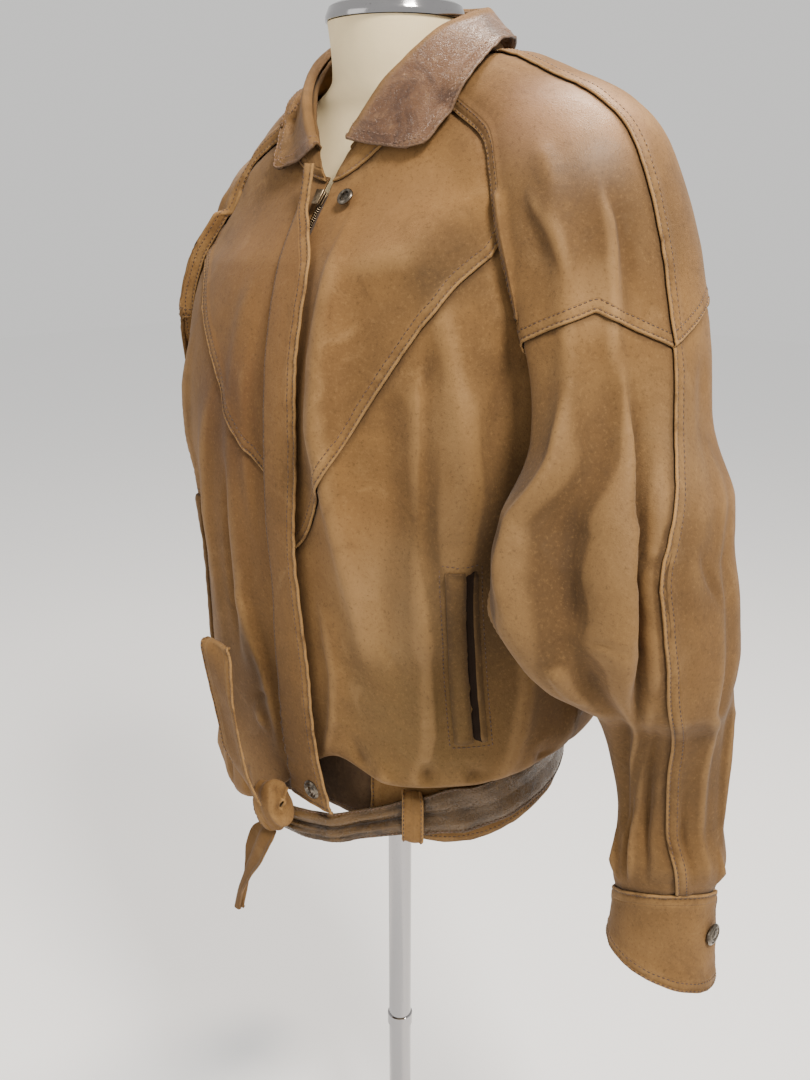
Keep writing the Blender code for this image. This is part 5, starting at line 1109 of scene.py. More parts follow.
neckline = np.concatenate([neck_edges["left"][:-1], neck_edges["left_front"][:-1], neck_edges["left_back"][:-1],
                           neck_edges["back"], neck_edges["right_back"][::-1][1:], neck_edges["right_front"][::-1][1:],
                           neck_edges["right"][::-1][1:]])
run = run_along(neckline)
at = np.linspace(0, run[-1], cells(run[-1]) + 1)
neckline = on_path(neckline, run, at)
across = 1 - 2 * at / at[-1]
side, t = np.where(across >= 0, 1, -1), 1 - np.abs(across)
roll, edge = collar_line(t, side, "roll"), collar_line(t, side, "leaf")
away = unit((roll - (0, NECK_CENTRE_Y, 0)) * (1, 1, 0))
top = roll - (0, 0, 0.005)
rise = np.linspace(0, 1, cells(0.05))[:, None, None]
stand = neckline * (1 - rise) + top * rise + away * 0.0012 * np.sin(np.pi * rise)
made_up("collar_stand", stand, sewn(stand, ("low",), ("high",), lap=0.0006, slack=0.0006), tan_nubuck, PLY,
        [("low", ROW)], held="stretched", rests_on=["front_left_upper", "back"])

middle = (roll + edge) / 2 + ease(t / 0.2)[:, None] * (0, 0, 0.006) - (0, 0, 0.002)
shoulders = tree_of([grid for name, grid in list(trunk_grids.items()) + list(sleeve_grids.items())
                     if "upper" in name or "yoke" in name or name == "back"])
knots = np.stack([top - away * PLY + (0, 0, 0.004), roll - away * 0.7 * PLY, roll + away * 0.8 * PLY + (0, 0, 0.0022),
                  roll + away * 2.6 * PLY - (0, 0, 0.0008), middle, middle * 0.45 + edge * 0.55, edge])
leaf, length = curve_through(knots, LEAF_CELLS)
down = np.linspace(0, 1, LEAF_CELLS + 1)[:, None] * np.ones(len(at))
from_front = np.minimum(run_along(leaf[-1]), run_along(leaf[-1, ::-1])[::-1])
short = CORNER - np.sqrt(np.maximum(CORNER ** 2 - np.maximum(CORNER - from_front, 0) ** 2, 0))
for i in range(len(at)):
    rows_kept = np.linspace(0, 1 - short[i] / length[i], LEAF_CELLS + 1) * LEAF_CELLS
    leaf[:, i] = on_path(leaf[:, i], np.arange(LEAF_CELLS + 1), rows_kept)
leaf = lifted(leaf, shoulders, np.where(down > 0.3, PLY + 0.004, 0))[:, ::-1]
LEAF_EDGES = ("high", "first", "last")
parts = sewn(leaf, LEAF_EDGES, (), lap=0.0007, pucker=0.0005, slack=0.0016)
worn = np.clip((parts[0][..., 0] + 0.055) / 0.04, 0, 1) * ease((edge_distance(parts[0], "low") - 0.009) / 0.005)


def worn_hide(name, base, deep, light, under, polish):
    """Nubuck rubbed smooth: mottled, cracked and shiny, with painted highlights on its ridges and painted shade in its
    hollows, fading to raw nubuck where worn is 0.
    """
    made, tree, shader, where = material(name)
    clouds = speckle(where, 26.0, 6.0, 0.7, 1.2)
    fine = speckle(where, 120.0, 5.0, 0.75, 0.6)
    grit = speckle(where, 520.0, 3.0, 0.7)
    bent = where.node("ShaderNodeMix", {"data_type": "VECTOR"}, 1, in0=0.035, in4=where, in5=speckle(where, 60.0, 4.0))
    cracks = where.node("ShaderNodeTexVoronoi", {"feature": "DISTANCE_TO_EDGE"}, in0=bent, Scale=330.0)
    pebble = where.node("ShaderNodeTexVoronoi", {"feature": "F1"}, in0=where, Scale=700.0)
    relief, rows, seam = field(tree, "relief"), field(tree, "stitched"), field(tree, "seam")
    rubbed = field(tree, "worn") * (1 - field(tree, "inside"))
    colour = ground(tree, base)
    colour = colour.mixed(deep, clouds.span(0.45, 0.66) * 0.85)
    colour = colour.mixed(light, fine.span(0.50, 0.72) * clouds.span(0.62, 0.35) * 0.85)
    # Painted highlight: paler where the leather stands up in a ridge.
    colour = colour.mixed(light, relief.span(0.1, 1.0) * 0.45)
    # Painted shade: darker where the leather sinks into a hollow.
    colour = colour.mixed(deep, relief.span(-0.1, -0.9) * 0.7)
    colour = colour.mixed(dim(deep, 0.6), cracks.span(0.06, 0.0) * fine.span(0.45, 0.65) * 0.40)
    colour = colour.mixed(light, rows.span(0.0022, 0.0006) * 0.5)
    bare = ground(tree, under).mixed(dim(under, 0.5), clouds.span(0.42, 0.7) * 0.6)
    bare = bare.mixed(dim(under, 0.55), grit.span(0.55, 0.7) * 0.35)
    mixed = bare.mixed(colour, rubbed).mixed(dim(deep, 0.4), seam.span(0.003, 0.0) * 0.5)
    roughness = 0.85 - rubbed * (polish - fine.span(0.35, 0.7) * 0.20)
    into(shader, Base_Color=mixed, Roughness=roughness, Specular_IOR_Level=0.45)
    furrow = rows.span(0.0012, 0.0020) * rows.span(0.0034, 0.0024)
    height = fine * 0.9 + pebble * 0.35 + cracks.span(0.0, 0.10) * 0.55 + clouds * 0.8 - furrow * 0.7
    bumped(shader, height, 0.6, 0.0009)
    return made


wine_hide = worn_hide("wine_hide", (0.118, 0.056, 0.025), (0.044, 0.019, 0.010), (0.29, 0.165, 0.080), TAN, 0.50)
rows = [(edge, distance) for edge in LEAF_EDGES for distance in (0.0022, 0.0085)]
made_up("collar", leaf, parts, wine_hide, PLY, rows, worn, slot="wine_leather", held="folded",
        rests_on=["collar_stand"])
wine_thread = thread("wine_thread", (0.16, 0.085, 0.05))
sew("collar_stitches", wine_thread)


# ---------------------------------------------------------------------------
# Placket: a strip of doubled nubuck sewn to the wearer's right front, which
# laps over the zip; its free edge is rolled and stitched twice, and thread
# tension has puckered its lower end. One snap closes it there.
# ---------------------------------------------------------------------------
PLACKET = table("z depth left right", [
    (0.013, 0.1300, -0.006, 0.0470), (0.036, 0.1330, -0.007, 0.0410), (0.075, 0.1365, -0.009, 0.0350),
    (0.130, 0.1395, -0.009, 0.0315), (0.198, 0.1440, -0.006, 0.0300), (0.262, 0.1460, -0.008, 0.0290),
    (0.339, 0.1435, -0.009, 0.0290), (0.400, 0.1360, -0.010, 0.0290), (0.446, 0.1210, -0.013, 0.0240),
    (0.470, 0.1070, -0.016, 0.0100), (0.492, 0.0930, -0.018, -0.0050), (0.518, 0.0860, -0.018, -0.0065),
])
z = np.linspace(PLACKET[0].z, PLACKET[-1].z, cells(0.53))[:, None]
u = np.linspace(0, 1, 19)[None]
left, right = column(PLACKET, "left", z), column(PLACKET, "right", z)
x = left + (right - left) * u
ripple = 0.0011 * np.sin(z * 560 + 3 * np.sin(z * 90)) * np.exp(-((x - left) / 0.010) ** 2) * ease((0.12 - z) / 0.05)
ripple = ripple + 0.0003 * np.sin(z * 330 + 2 * np.sin(z * 50)) * np.exp(-((right - x) / 0.009) ** 2)
wave = 0.0014 * np.sin(z * 31 + 1.0) * (u - 0.3)
y = -column(PLACKET, "depth", z) - 0.0015 * np.sin(np.pi * u) - ripple - wave
grid = np.stack(np.broadcast_arrays(x + 0.0007 * np.sin(z * 47) * u, y, z + HANG), -1)
parts = sewn(grid, ("last", "low"), (), ("first",), lap=0.0006, pucker=0.0002, slack=0.0010)
made_up("placket", grid, parts, tan_nubuck, PLY, [("last", ROW), ("last", 0.0085), ("low", 0.0040), ("first", 0.0060)],
        held="hung", rests_on=["front_right_upper", "front_right_lower"])
sew("placket_stitches", tan_thread)


# ---------------------------------------------------------------------------
# Zip: two woven tapes with cast metal teeth, closed from the stop in the
# waistband up to the slider at the neck, whose pull tab swings on its bridge.
# All of it is dull antique brass except the brown tapes.
# ---------------------------------------------------------------------------
def scratched(name, colour, dark, roughness):
    """Cast metal, darker in cloudy soiled patches and finely scratched."""
    made, tree, shader, where = material(name)
    soil = speckle(where, 240.0, 4.0, 0.6)
    fine = speckle(where, 1400.0, 3.0, 0.7)
    tone = ground(tree, colour).mixed(dark, soil.span(0.42, 0.62) * 0.75)
    into(shader, Base_Color=tone, Roughness=soil.span(0.4, 0.65) * 0.22 + roughness, Metallic=1.0)
    bumped(shader, fine + soil, 0.35, 0.0002)
    return made


zip_brass = scratched("zip_brass", (0.24, 0.175, 0.105), (0.06, 0.040, 0.025), 0.30)
pewter = scratched("pewter", (0.17, 0.145, 0.115), (0.035, 0.028, 0.022), 0.24)


def deselected():
    """Nothing selected, so that an operator acts on the next piece alone."""
    bpy.ops.object.select_all(action="DESELECT")


def finished(piece, name, finish, node, body="jacket"):
    """Places a shaped primitive for good, smooths it, names it, gives it its finish and attaches it to its body."""
    piece.name = name
    deselected()
    piece.select_set(True)
    bpy.context.view_layer.objects.active = piece
    bpy.ops.object.transform_apply(location=True, rotation=True, scale=True)
    bpy.ops.object.shade_smooth_by_angle(angle=math.radians(35))
    piece.data.materials.clear()
    piece.data.materials.append(finish)
    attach(piece, body)
    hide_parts(node)
    piece.select_set(False)


def box_of(node):
    """A node's middle, and half its size."""
    low, high = (np.array(corner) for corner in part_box(node))
    return (low + high) / 2, (high - low) / 2


def plate(size, taper=1.0, bevel=0.0004, hole=0.0, segments=3):
    """A metal plate with rounded edges, narrower at its foot, with a hole through it if asked."""
    deselected()
    bpy.ops.mesh.primitive_cube_add(size=1, location=(0, 0, 0))
    made = bpy.context.object
    made.scale = size
    bpy.ops.object.transform_apply(scale=True)
    if hole:
        bpy.ops.object.mode_set(mode="EDIT")
        shape = bmesh.from_edit_mesh(made.data)
        for face in shape.faces:
            face.select_set(abs(face.normal.y) > 0.9)
        bmesh.update_edit_mesh(made.data)
        bpy.ops.mesh.inset(thickness=hole, use_individual=True)
        bpy.ops.mesh.bridge_edge_loops()
        bpy.ops.object.mode_set(mode="OBJECT")
    for corner in made.data.vertices:
        if corner.co.z < 0:
            corner.co.x *= taper
    soften = made.modifiers.new("edges", "BEVEL")
    soften.width, soften.segments, soften.limit_method = bevel, segments, "ANGLE"
    bpy.ops.object.modifier_apply(modifier="edges")
    return made


ZIP_TOP = 0.496
TAPE_HALF, TAPE_THICK = 0.0062, 0.0006
TOOTH_PITCH, TOOTH_ASIDE = 0.00095, 0.0010
path = np.concatenate([band(0, np.linspace(0.92, 0.2, 30)), trunk(0, np.linspace(V_SEAM, ZIP_TOP, 240))])
run = run_along(path)
centre = on_path(path, run, np.linspace(0, run[-1], cells(run[-1]) + 1))
offset = np.linspace(-TAPE_HALF, TAPE_HALF, 9)[None, :, None]
tape = centre[:, None] + offset * (1, 0, 0) + ease((np.abs(offset) - 0.0026) / 0.0016) * np.array([0, 0.0032, 0])
piece = leather_wall("zip_tape", tape, TAPE_THICK, {"relief": np.zeros(tape.shape[:2])})

tape_cloth, tree, shader, where = material("zip_tape_cloth")
weft = where.node("ShaderNodeTexWave", {"bands_direction": "Z"}, in0=where, Scale=900.0, Distortion=0.4)
tone = ground(tree, (0.050, 0.030, 0.018)).mixed((0.020, 0.012, 0.008), weft * 0.7)
into(shader, Base_Color=tone, Roughness=0.9)
dressed(piece, "zip_chain", tape, tape_cloth, slot="zip_metal", held="stretched", rests_on=["front_left_lower"])

tooth = plate((0.0026, 0.0014, 0.0010), bevel=0.00022, segments=1)
template = np.array([corner.co[:] for corner in tooth.data.vertices])
template_faces = [list(face.vertices) for face in tooth.data.polygons]
bpy.data.objects.remove(tooth)
points, faces = [], []
for number, at in enumerate(np.arange(0.003, run[-1] - 0.002, TOOTH_PITCH)):
    spot = on_path(path, run, at)
    ahead = unit(on_path(path, run, at + 0.002) - spot)
    out = unit(np.cross((1, 0, 0), ahead))
    spot = spot + out * 0.0005 + (TOOTH_ASIDE if number % 2 else -TOOTH_ASIDE, 0, 0)
    faces += [[k + len(points) for k in face] for face in template_faces]
    points += (spot + template @ np.array([(1, 0, 0), -out, ahead])).tolist()
finished(new_piece("zip_teeth", points, faces), "zip_teeth", zip_brass, "zip_chain")

NECK_LOW, NECK_SPOT, NECK_HIGH = 0.486, 0.492, 0.498       # heights about the slider and the bare socket


def facing_between(first, last):
    """Which way the trunk faces at the neck, midway between two angles."""
    across, up = trunk(np.array([first, last]), NECK_SPOT), trunk((first + last) / 2, np.array([NECK_LOW, NECK_HIGH]))
    return unit(np.cross(across[1] - across[0], up[1] - up[0]))


facing = facing_between(-1.0, 1.0)
lean = math.atan2(facing[2], -facing[1])
layers = []
for size, taper, bevel, spot in (((0.0075, 0.0012, 0.011), 0.62, 0.0004, (0, 0.0013, 0)),
                                 ((0.0072, 0.0012, 0.0106), 0.55, 0.0005, (0, -0.0009, 0)),
                                 ((0.0020, 0.0016, 0.0070), 1.0, 0.0005, (0, -0.0016, 0.0008))):
    layers.append(plate(size, taper, bevel))
    layers[-1].data.transform(Matrix.Translation(spot))
deselected()
for layer in layers:
    layer.select_set(True)
slider = bpy.context.view_layer.objects.active = layers[0]
bpy.ops.object.join()
slider.rotation_euler = (-lean, 0, 0)
slider.location, _ = box_of("zip_slider")
finished(slider, "slider_casting", zip_brass, "zip_slider")
pull = plate((0.0078, 0.0013, 0.0122), taper=0.82, hole=0.0017)
pull.rotation_euler = (-lean, 0, 0)
pull.location, _ = box_of("zip_pull")
finished(pull, "pull_tab", zip_brass, "zip_pull", "zip_pull")
middle, half = box_of("zip_stop")
stop = plate(tuple(2 * half), taper=0.9, bevel=0.0009)
stop.location = middle
finished(stop, "stop_casting", zip_brass, "zip_stop")


# ---------------------------------------------------------------------------
# Snaps: a turned pewter cap with ring grooves on the placket's foot and on each
# cuff, and at the neck the bare socket that a lost cap once closed on.
# ---------------------------------------------------------------------------
CAP_PROFILE = [  # radius and height, from the rim under the cap to its middle
    (0.0079, 0.0), (0.0085, 0.0006), (0.0085, 0.0017), (0.0080, 0.0023), (0.0070, 0.0030), (0.0064, 0.0031),
    (0.0059, 0.0024), (0.0053, 0.0023), (0.0049, 0.0030), (0.0043, 0.0033), (0.0038, 0.0031), (0.0034, 0.0026),
    (0.0026, 0.0027), (0.0018, 0.0032), (0.0006, 0.0034),
]
SOCKET_PROFILE = [
    (0.0062, 0.0), (0.0066, 0.0004), (0.0066, 0.0015), (0.0061, 0.0021), (0.0052, 0.0027), (0.0046, 0.0028),
    (0.0040, 0.0025), (0.0036, 0.0017), (0.0034, 0.0004), (0.0020, 0.0002), (0.0006, 0.0002),
]


def spun(profile, seat, facing, name, node, finish=pewter, sides=40):
    """A turned piece: a circle extruded and resized row by row, then closed in its middle."""
    deselected()
    bpy.ops.mesh.primitive_circle_add(vertices=sides, radius=profile[0][0], location=(0, 0, profile[0][1]))
    made = bpy.context.object
    bpy.ops.object.transform_apply(location=True)
    bpy.ops.object.mode_set(mode="EDIT")
    bpy.ops.mesh.select_all(action="SELECT")
    for (r, h), (next_r, next_h) in zip(profile, profile[1:]):
        bpy.ops.mesh.extrude_region_move(TRANSFORM_OT_translate={"value": (0, 0, next_h - h)})
        bpy.ops.transform.resize(value=(next_r / r, next_r / r, 1), center_override=(0, 0, 0))
    bpy.ops.mesh.merge(type="CENTER")
    bpy.ops.mesh.select_all(action="SELECT")
    bpy.ops.mesh.remove_doubles(threshold=0.00001)
    bpy.ops.mesh.select_all(action="DESELECT")
    bpy.ops.mesh.select_non_manifold()
    bpy.ops.mesh.edge_face_add()
    bpy.ops.mesh.select_all(action="SELECT")
    bpy.ops.mesh.normals_make_consistent(inside=False)
    bpy.ops.object.mode_set(mode="OBJECT")
    made.rotation_mode = "QUATERNION"
    made.rotation_quaternion = Vector((0, 0, 1)).rotation_difference(Vector(facing))
    made.location = seat
    finished(made, name, finish, node)


def seat_of(node, facing):
    """Where a turned node stands: the middle of its box, moved back to its foot."""
    middle, half = box_of(node)
    return middle - np.array(facing) * (np.abs(np.array(facing)) @ half)


placket_lean = math.atan2(PLACKET[1].depth - PLACKET[0].depth, PLACKET[1].z - PLACKET[0].z)
facing = (0, -math.cos(placket_lean), -math.sin(placket_lean))
spun(CAP_PROFILE, seat_of("placket_snap", facing) + np.array(facing) * 0.0010, facing,
     "placket_cap", "placket_snap")
for side, name in SIDES:
    spun(CAP_PROFILE, seat_of("cuff_%s_snap" % name, (side, 0, 0)), (side, 0, 0),
         "cuff_%s_cap" % name, "cuff_%s_snap" % name)
facing = facing_between(17.0, 21.0)
middle, _ = box_of("neck_snap_socket")
spun(SOCKET_PROFILE, middle - facing * 0.0010, facing, "neck_socket", "neck_snap_socket")


# ---------------------------------------------------------------------------
# Pockets: a slanted mouth in each lower front with a padded welt of nubuck on
# its front side, a narrow facing on the other, a near-black lining between them,
# its dark tone painted shade for the slit, and one row of stitches all round.
# ---------------------------------------------------------------------------
POCKET_LOW, POCKET_HIGH = 0.089, 0.242
POCKET_ANGLE, POCKET_SLANT, POCKET_TURN = 52.8, 4.0, 7.6
POCKET_LIPS = table("part first last rise", [("welt", 0.0, 0.57, 0.0038), ("facing", 0.52, 1.0, 0.0026)])


def pocket(side, u, v):
    """Points of the bare trunk in a pocket's own frame, and which way is out."""
    slant = POCKET_SLANT * (POCKET_HIGH - v) / (POCKET_HIGH - POCKET_LOW)
    angle = side * (POCKET_ANGLE + slant + POCKET_TURN * u)
    along = trunk(angle + 1.0, v, False) - trunk(angle - 1.0, v, False)
    rise = trunk(angle, v + 0.004, False) - trunk(angle, v - 0.004, False)
    return trunk(angle, v, False), unit(np.cross(along, rise))


# The lining is a real pocket bag, but its near-black tone is painted shade for the slit between welt and facing.
lining, tree, shader, where = material("brown_lining")
weave = where.node("ShaderNodeTexWave", {"bands_direction": "DIAGONAL"}, in0=where, Scale=1100.0, Distortion=0.5)
tone = ground(tree, (0.022, 0.012, 0.007)).mixed((0.010, 0.006, 0.004), weave)
into(shader, Base_Color=tone, Roughness=0.9, Specular_IOR_Level=0.1)

for side, name in SIDES:
    fronts = tree_of([sewn_trunk["front_%s_lower" % name]])
    v = np.linspace(POCKET_LOW, POCKET_HIGH, cells(0.16) + 1)[:, None]
    for lip in POCKET_LIPS:
        u = np.linspace(lip.first, lip.last, 11)[None]
        sunk = (ease((0.80 - u) / 0.04) if lip.part == "facing" else 0 * u) * np.ones_like(v)
        base, out = pocket(side, u, v)
        grid, sunk = turned_out(base + out * (lip.rise - 0.0016 * sunk)[..., None], side), turned_out(sunk, side)
        grid = lifted(grid, fronts, lip.rise - 0.0018 * sunk)
        parts = sewn(grid, (), (), EDGES, pucker=0.0003, slack=0.0007)
        piece = made_up("pocket_%s_%s" % (name, lip.part), parts[0], parts, tan_nubuck, held="stretched",
                        rests_on=["front_%s_lower" % name])
        if lip.part == "facing":
            piece.data.materials.append(lining)
            hidden = edge_distance(parts[0], "first" if side > 0 else "last")[len(parts[0]) // 2] < 0.0100
            for face in piece.data.polygons:
                face.material_index = int(hidden[face.vertices[0] % len(hidden)])
    left, right, low, high = -0.16, 1.14, POCKET_LOW - 0.005, POCKET_HIGH + 0.005
    corners = [(left, low), (left, high), (right, high), (right, low), (left, low)]
    for (u, v), (next_u, next_v) in zip(corners, corners[1:]):
        base, _ = pocket(side, np.linspace(u, next_u, 60), np.linspace(v, next_v, 60))
        dropped = [fronts.find_nearest(Vector(p)) for p in base]
        THREAD.append((np.array([hit[0] for hit in dropped]), np.array([hit[1] for hit in dropped]), 0.001))
sew("pocket_stitches", tan_thread)


# ---------------------------------------------------------------------------
# Cuffs: a doubled band of nubuck on each gathered sleeve, flaring a little and
# lapped over itself at the outer back of the wrist, with two rows of stitches
# round its hem and its free end.
# ---------------------------------------------------------------------------
CUFF_RADIUS, CUFF_HEIGHT, CUFF_FACING, CUFF_LAP, CUFF_TURN = 0.038, 0.061, 43, 116, 388


def cuff(side, angle, drop):
    """Points of a cuff; angle is an azimuth round the wrist, drop runs from its seam to its hem."""
    row = ARM[-1]
    right = side < 0
    towards = np.cos(np.radians(angle - CUFF_FACING))
    under = ease((-angle - 228) / 22)
    radius = CUFF_RADIUS + (0.003 + 0.006 * np.maximum(towards, 0)) * drop - 0.0036 * under
    point = direction(angle + 0 * drop) * radius[..., None]
    point = point + (row.x - RIGHT_TUCK * right, row.y + RIGHT_SWING * right, row.z - RIGHT_SLUMP * right + HANG)
    tilt = (CUFF_TILT * (1 - drop) + 0.003 * drop) * towards
    tilt = tilt + 0.014 * drop * np.cos(np.radians(angle - CUFF_FACING + 90))
    point[..., 2] += tilt - 0.001 - CUFF_HEIGHT * drop
    return point * (side, 1, 1)


for side, name in SIDES:
    angles = np.linspace(CUFF_LAP - CUFF_TURN, CUFF_LAP, cells(0.27) + 1)[None]
    grid = turned_out(cuff(side, angles, np.linspace(1, 0, BAND_ROWS)[:, None]), side)
    free = "last" if side > 0 else "first"
    parts = sewn(grid, ("low", "high", free), (), lap=0.0007, pucker=0.0005, slack=0.0013)
    made_up("cuff_" + name, grid, parts, tan_nubuck, PLY,
            [("low", 0.0025), ("low", 0.0085), ("high", ROW), (free, ROW)],
            held="folded", rests_on=["sleeve_%s_front" % name])
sew("cuff_stitches", tan_thread)


# ---------------------------------------------------------------------------
# Belt: a long strap of brown leather, flat and stitched round the back,
# crumpled into two rolls where it runs to the knot in front. Rubbed smooth and
# shiny. Its two suede-side ends leave the knot up and down.
# ---------------------------------------------------------------------------
# centre is above the waistband's rim; roll is how much the strap crumples outward
BELT = table("angle centre height stand_off roll", [
    (-180, 0.031, 0.040, 0.0032, 0.000), (-90, 0.029, 0.040, 0.0032, 0.001), (-50, 0.020, 0.034, 0.0032, 0.001),
    (-24, 0.004, 0.028, 0.0090, 0.002), (-13, -0.006, 0.024, 0.0190, 0.003), (-3, -0.010, 0.024, 0.0260, 0.004),
    (16, -0.006, 0.026, 0.0210, 0.004), (32, 0.008, 0.028, 0.0110, 0.004), (47, 0.022, 0.034, 0.0050, 0.003),
    (62, 0.032, 0.040, 0.0035, 0.002), (90, 0.032, 0.040, 0.0032, 0.001), (180, 0.031, 0.040, 0.0032, 0.000),
])
BELT_LEATHER, BELT_ROW = 0.0018, 0.0028


def strap(angle, u, lift=0.0):
    """Points of the belt's outer face; u runs from its lower edge (0) to its upper edge (1)."""
    angle = (np.asarray(angle, float) + 180) % 360 - 180
    row = row_at(BELT, angle)
    height = row["centre"] + (u - 0.5) * row["height"]
    ridge = row["roll"] * (np.abs(np.sin(2 * np.pi * u)) ** 0.7 + 0.3 * u)
    point = band(angle, np.minimum(1 - height / WAISTBAND_HEIGHT, 1.2), row["stand_off"] + ridge + lift)
    point[..., 2] = column(HEM, "rim", angle) + HANG + height
    return point


belt_hide = worn_hide("belt_hide", (0.080, 0.042, 0.012), (0.030, 0.015, 0.005), (0.145, 0.080, 0.026), TAN, 0.60)
angles = np.linspace(-3, 341, cells(0.92) + 1)[None]
u = np.linspace(0, 1, 25)[:, None]
seen = (angles + 180) % 360 - 180
crumple = np.exp(-((seen - 12) / 42) ** 2)
lines = 0.0010 * np.sin(u * 17 + 0.06 * angles) + 0.0007 * np.sin(u * 31 - 0.11 * angles + 1.0)
fan = 0.0012 * np.sin(angles * 0.42 + 5 * u) * np.exp(-((seen - 62) / 16) ** 2)
grid = strap(angles + 0 * u, u + 0 * angles, lines * crumple + fan)
parts = sewn(grid, ("low", "high"), (), lap=0.0005, pucker=0.0004, slack=0.0012)
made_up("belt", grid, parts, belt_hide, BELT_LEATHER, [("low", ROW), ("high", ROW)], np.ones(parts[0].shape[:2]),
        slot="wine_leather", held="gathered", rests_on=["waistband"])
sew("belt_stitches", wine_thread)

BELT_END_UP = table("k x y z width turn", [  # turn is how far the strap faces away from the front, in degrees
    (0, -0.0125, -0.1634, 0.0203, 0.034, 20), (1, -0.027, -0.172, 0.056, 0.040, 14),
    (2, -0.039, -0.172, 0.104, 0.043, 8), (3, -0.047, -0.170, 0.141, 0.040, 4), (4, -0.050, -0.167, 0.1475, 0.036, 4),
    (5, -0.052, -0.162, 0.146, 0.034, 4), (6, -0.056, -0.162, 0.124, 0.026, 4), (7, -0.052, -0.162, 0.092, 0.022, 4),
])
BELT_END_DOWN = table("k x y z width turn", [
    (0, -0.011, -0.1500, -0.0143, 0.022, 10), (1, -0.015, -0.156, -0.021, 0.032, 10),
    (2, -0.022, -0.160, -0.040, 0.034, 16), (3, -0.031, -0.161, -0.062, 0.026, 30),
    (4, -0.042, -0.160, -0.088, 0.015, 45), (5, -0.051, -0.158, -0.112, 0.005, 50),
])
for name, rows in (("belt_end_up", BELT_END_UP), ("belt_end_down", BELT_END_DOWN)):
    fine = np.linspace(0, rows[-1].k, 400)
    line = np.stack([column(rows, axis, fine) for axis in "xyz"], -1)
    run = run_along(line)
    k = np.interp(np.linspace(0, run[-1], cells(run[-1]) * 2), run, fine)[:, None]
    u = np.linspace(-0.5, 0.5, 21)[None]
    centre = np.stack([column(rows, axis, k) for axis in "xyz"], -1)
    across = direction(90 - column(rows, "turn", k))
    width = column(rows, "width", k)
    grid = centre + across * (width * u)[..., None] + (0, 0, HANG)
    if name == "belt_end_up":
        bend = 0.0010 * np.sin(k * 3.1 + 4 * u) + 0.0016 * np.sin(k * 1.3) * u
    else:
        bend = 0.0040 * np.exp(-((u + 0.12 + 0.1 * k / 5) / 0.16) ** 2) * ease(k / 1.5)
        bend = bend - 0.0020 * np.cos(u * 9) * ease(k)
    grid = grid + grid_normals(grid) * bend[..., None]
    sides = ("first", "last") if name == "belt_end_up" else ()
    parts = sewn(grid, sides, (), lap=0.0004, pucker=0.0003, slack=0.0012, soiled=False)
    made_up(name, grid, parts, tan_nubuck, BELT_LEATHER, [(side, BELT_ROW) for side in sides], held="hung",
            rests_on=["belt_knot"])

KNOT_CENTRE, KNOT_LEAN = (-0.005, -0.151, 0.009), -30
turn = np.linspace(math.radians(-205), math.radians(163), 150)[:, None]
w = np.linspace(-1, 1, 31)[None]
bulge = 1 - 0.13 * np.abs(w) ** 4 - 0.72 * ease((w - 0.74) / 0.26) - 0.2 * np.maximum(-w - 0.6, 0)
bulge = bulge + 0.06 * np.sin(2.4 * w + 2.1 * turn) + 0.035 * np.sin(7 * w - 1.3 * turn)
spiral = 0.030 * (turn + 3.58) / 6.4
x = 0.0145 * w * (1 + 0.10 * np.sin(2 * turn)) + 0.0022 * np.sin(turn)
y = -0.0118 * (bulge - 0.06 + spiral) * np.cos(turn)
z = 0.0215 * (bulge - 0.04 + spiral) * np.sin(turn)
grid = np.stack(np.broadcast_arrays(x, y, z), -1)
tip = math.radians(KNOT_LEAN)
swing = np.array([(math.cos(tip), 0, math.sin(tip)), (0, 1, 0), (-math.sin(tip), 0, math.cos(tip))])
grid = grid @ swing.T + np.array(KNOT_CENTRE) + (0, 0, HANG)
parts = sewn(grid, ("first", "last", "high"), (), lap=0.0004, pucker=0.0006, slack=0.0018, soiled=False)
made_up("belt_knot", grid, parts, tan_nubuck, BELT_LEATHER, [("first", BELT_ROW)], held="gathered", rests_on=["belt"])
sew("belt_end_stitches", tan_thread)


# ---------------------------------------------------------------------------
# Belt loops: four short straps of nubuck sewn to the waistband above and below
# the belt, each with a row of stitches along both edges.
# ---------------------------------------------------------------------------
LOOP_ANGLES = {"front_left": 47, "back_left": 140, "front_right": -60, "back_right": -140}
LOOP_WIDTH, LOOP_LEATHER, LOOP_ROW = 0.018, 0.0014, 0.0024
for name, angle in LOOP_ANGLES.items():
    row = row_at(BELT, angle)
    reach = row["stand_off"] + row["roll"] * 1.3 + 0.0034
    low, high = row["centre"] - row["height"] / 2, row["centre"] + row["height"] / 2
    rest = LOOP_LEATHER + 0.0004
    knots = np.array([(low - 0.0065, rest), (low - 0.0030, reach), (low + 0.004, reach + 0.0006),
                      (high - 0.004, reach + 0.0006), (high + 0.0022, reach), (high + 0.0056, rest)])
    run = run_along(knots)
    line = on_path(knots, run, np.linspace(0, run[-1], 40))
    height, lift = (blurred(line[:, k:k + 1], 6) for k in range(2))
    around = angle + np.degrees(np.linspace(-0.5, 0.5, 11)[None] * LOOP_WIDTH / 0.15)
    grid = band(around, 1 - height / WAISTBAND_HEIGHT, lift)
    grid[..., 2] = column(HEM, "rim", angle) + HANG + height
    parts = sewn(grid, ("first", "last"), (), lap=0.0003, pucker=0.0004, slack=0.0006, soiled=False)
    made_up("belt_loop_" + name, grid, parts, tan_nubuck, LOOP_LEATHER, [("first", LOOP_ROW), ("last", LOOP_ROW)],
            held="folded", rests_on=["belt"])
sew("loop_stitches", tan_thread)


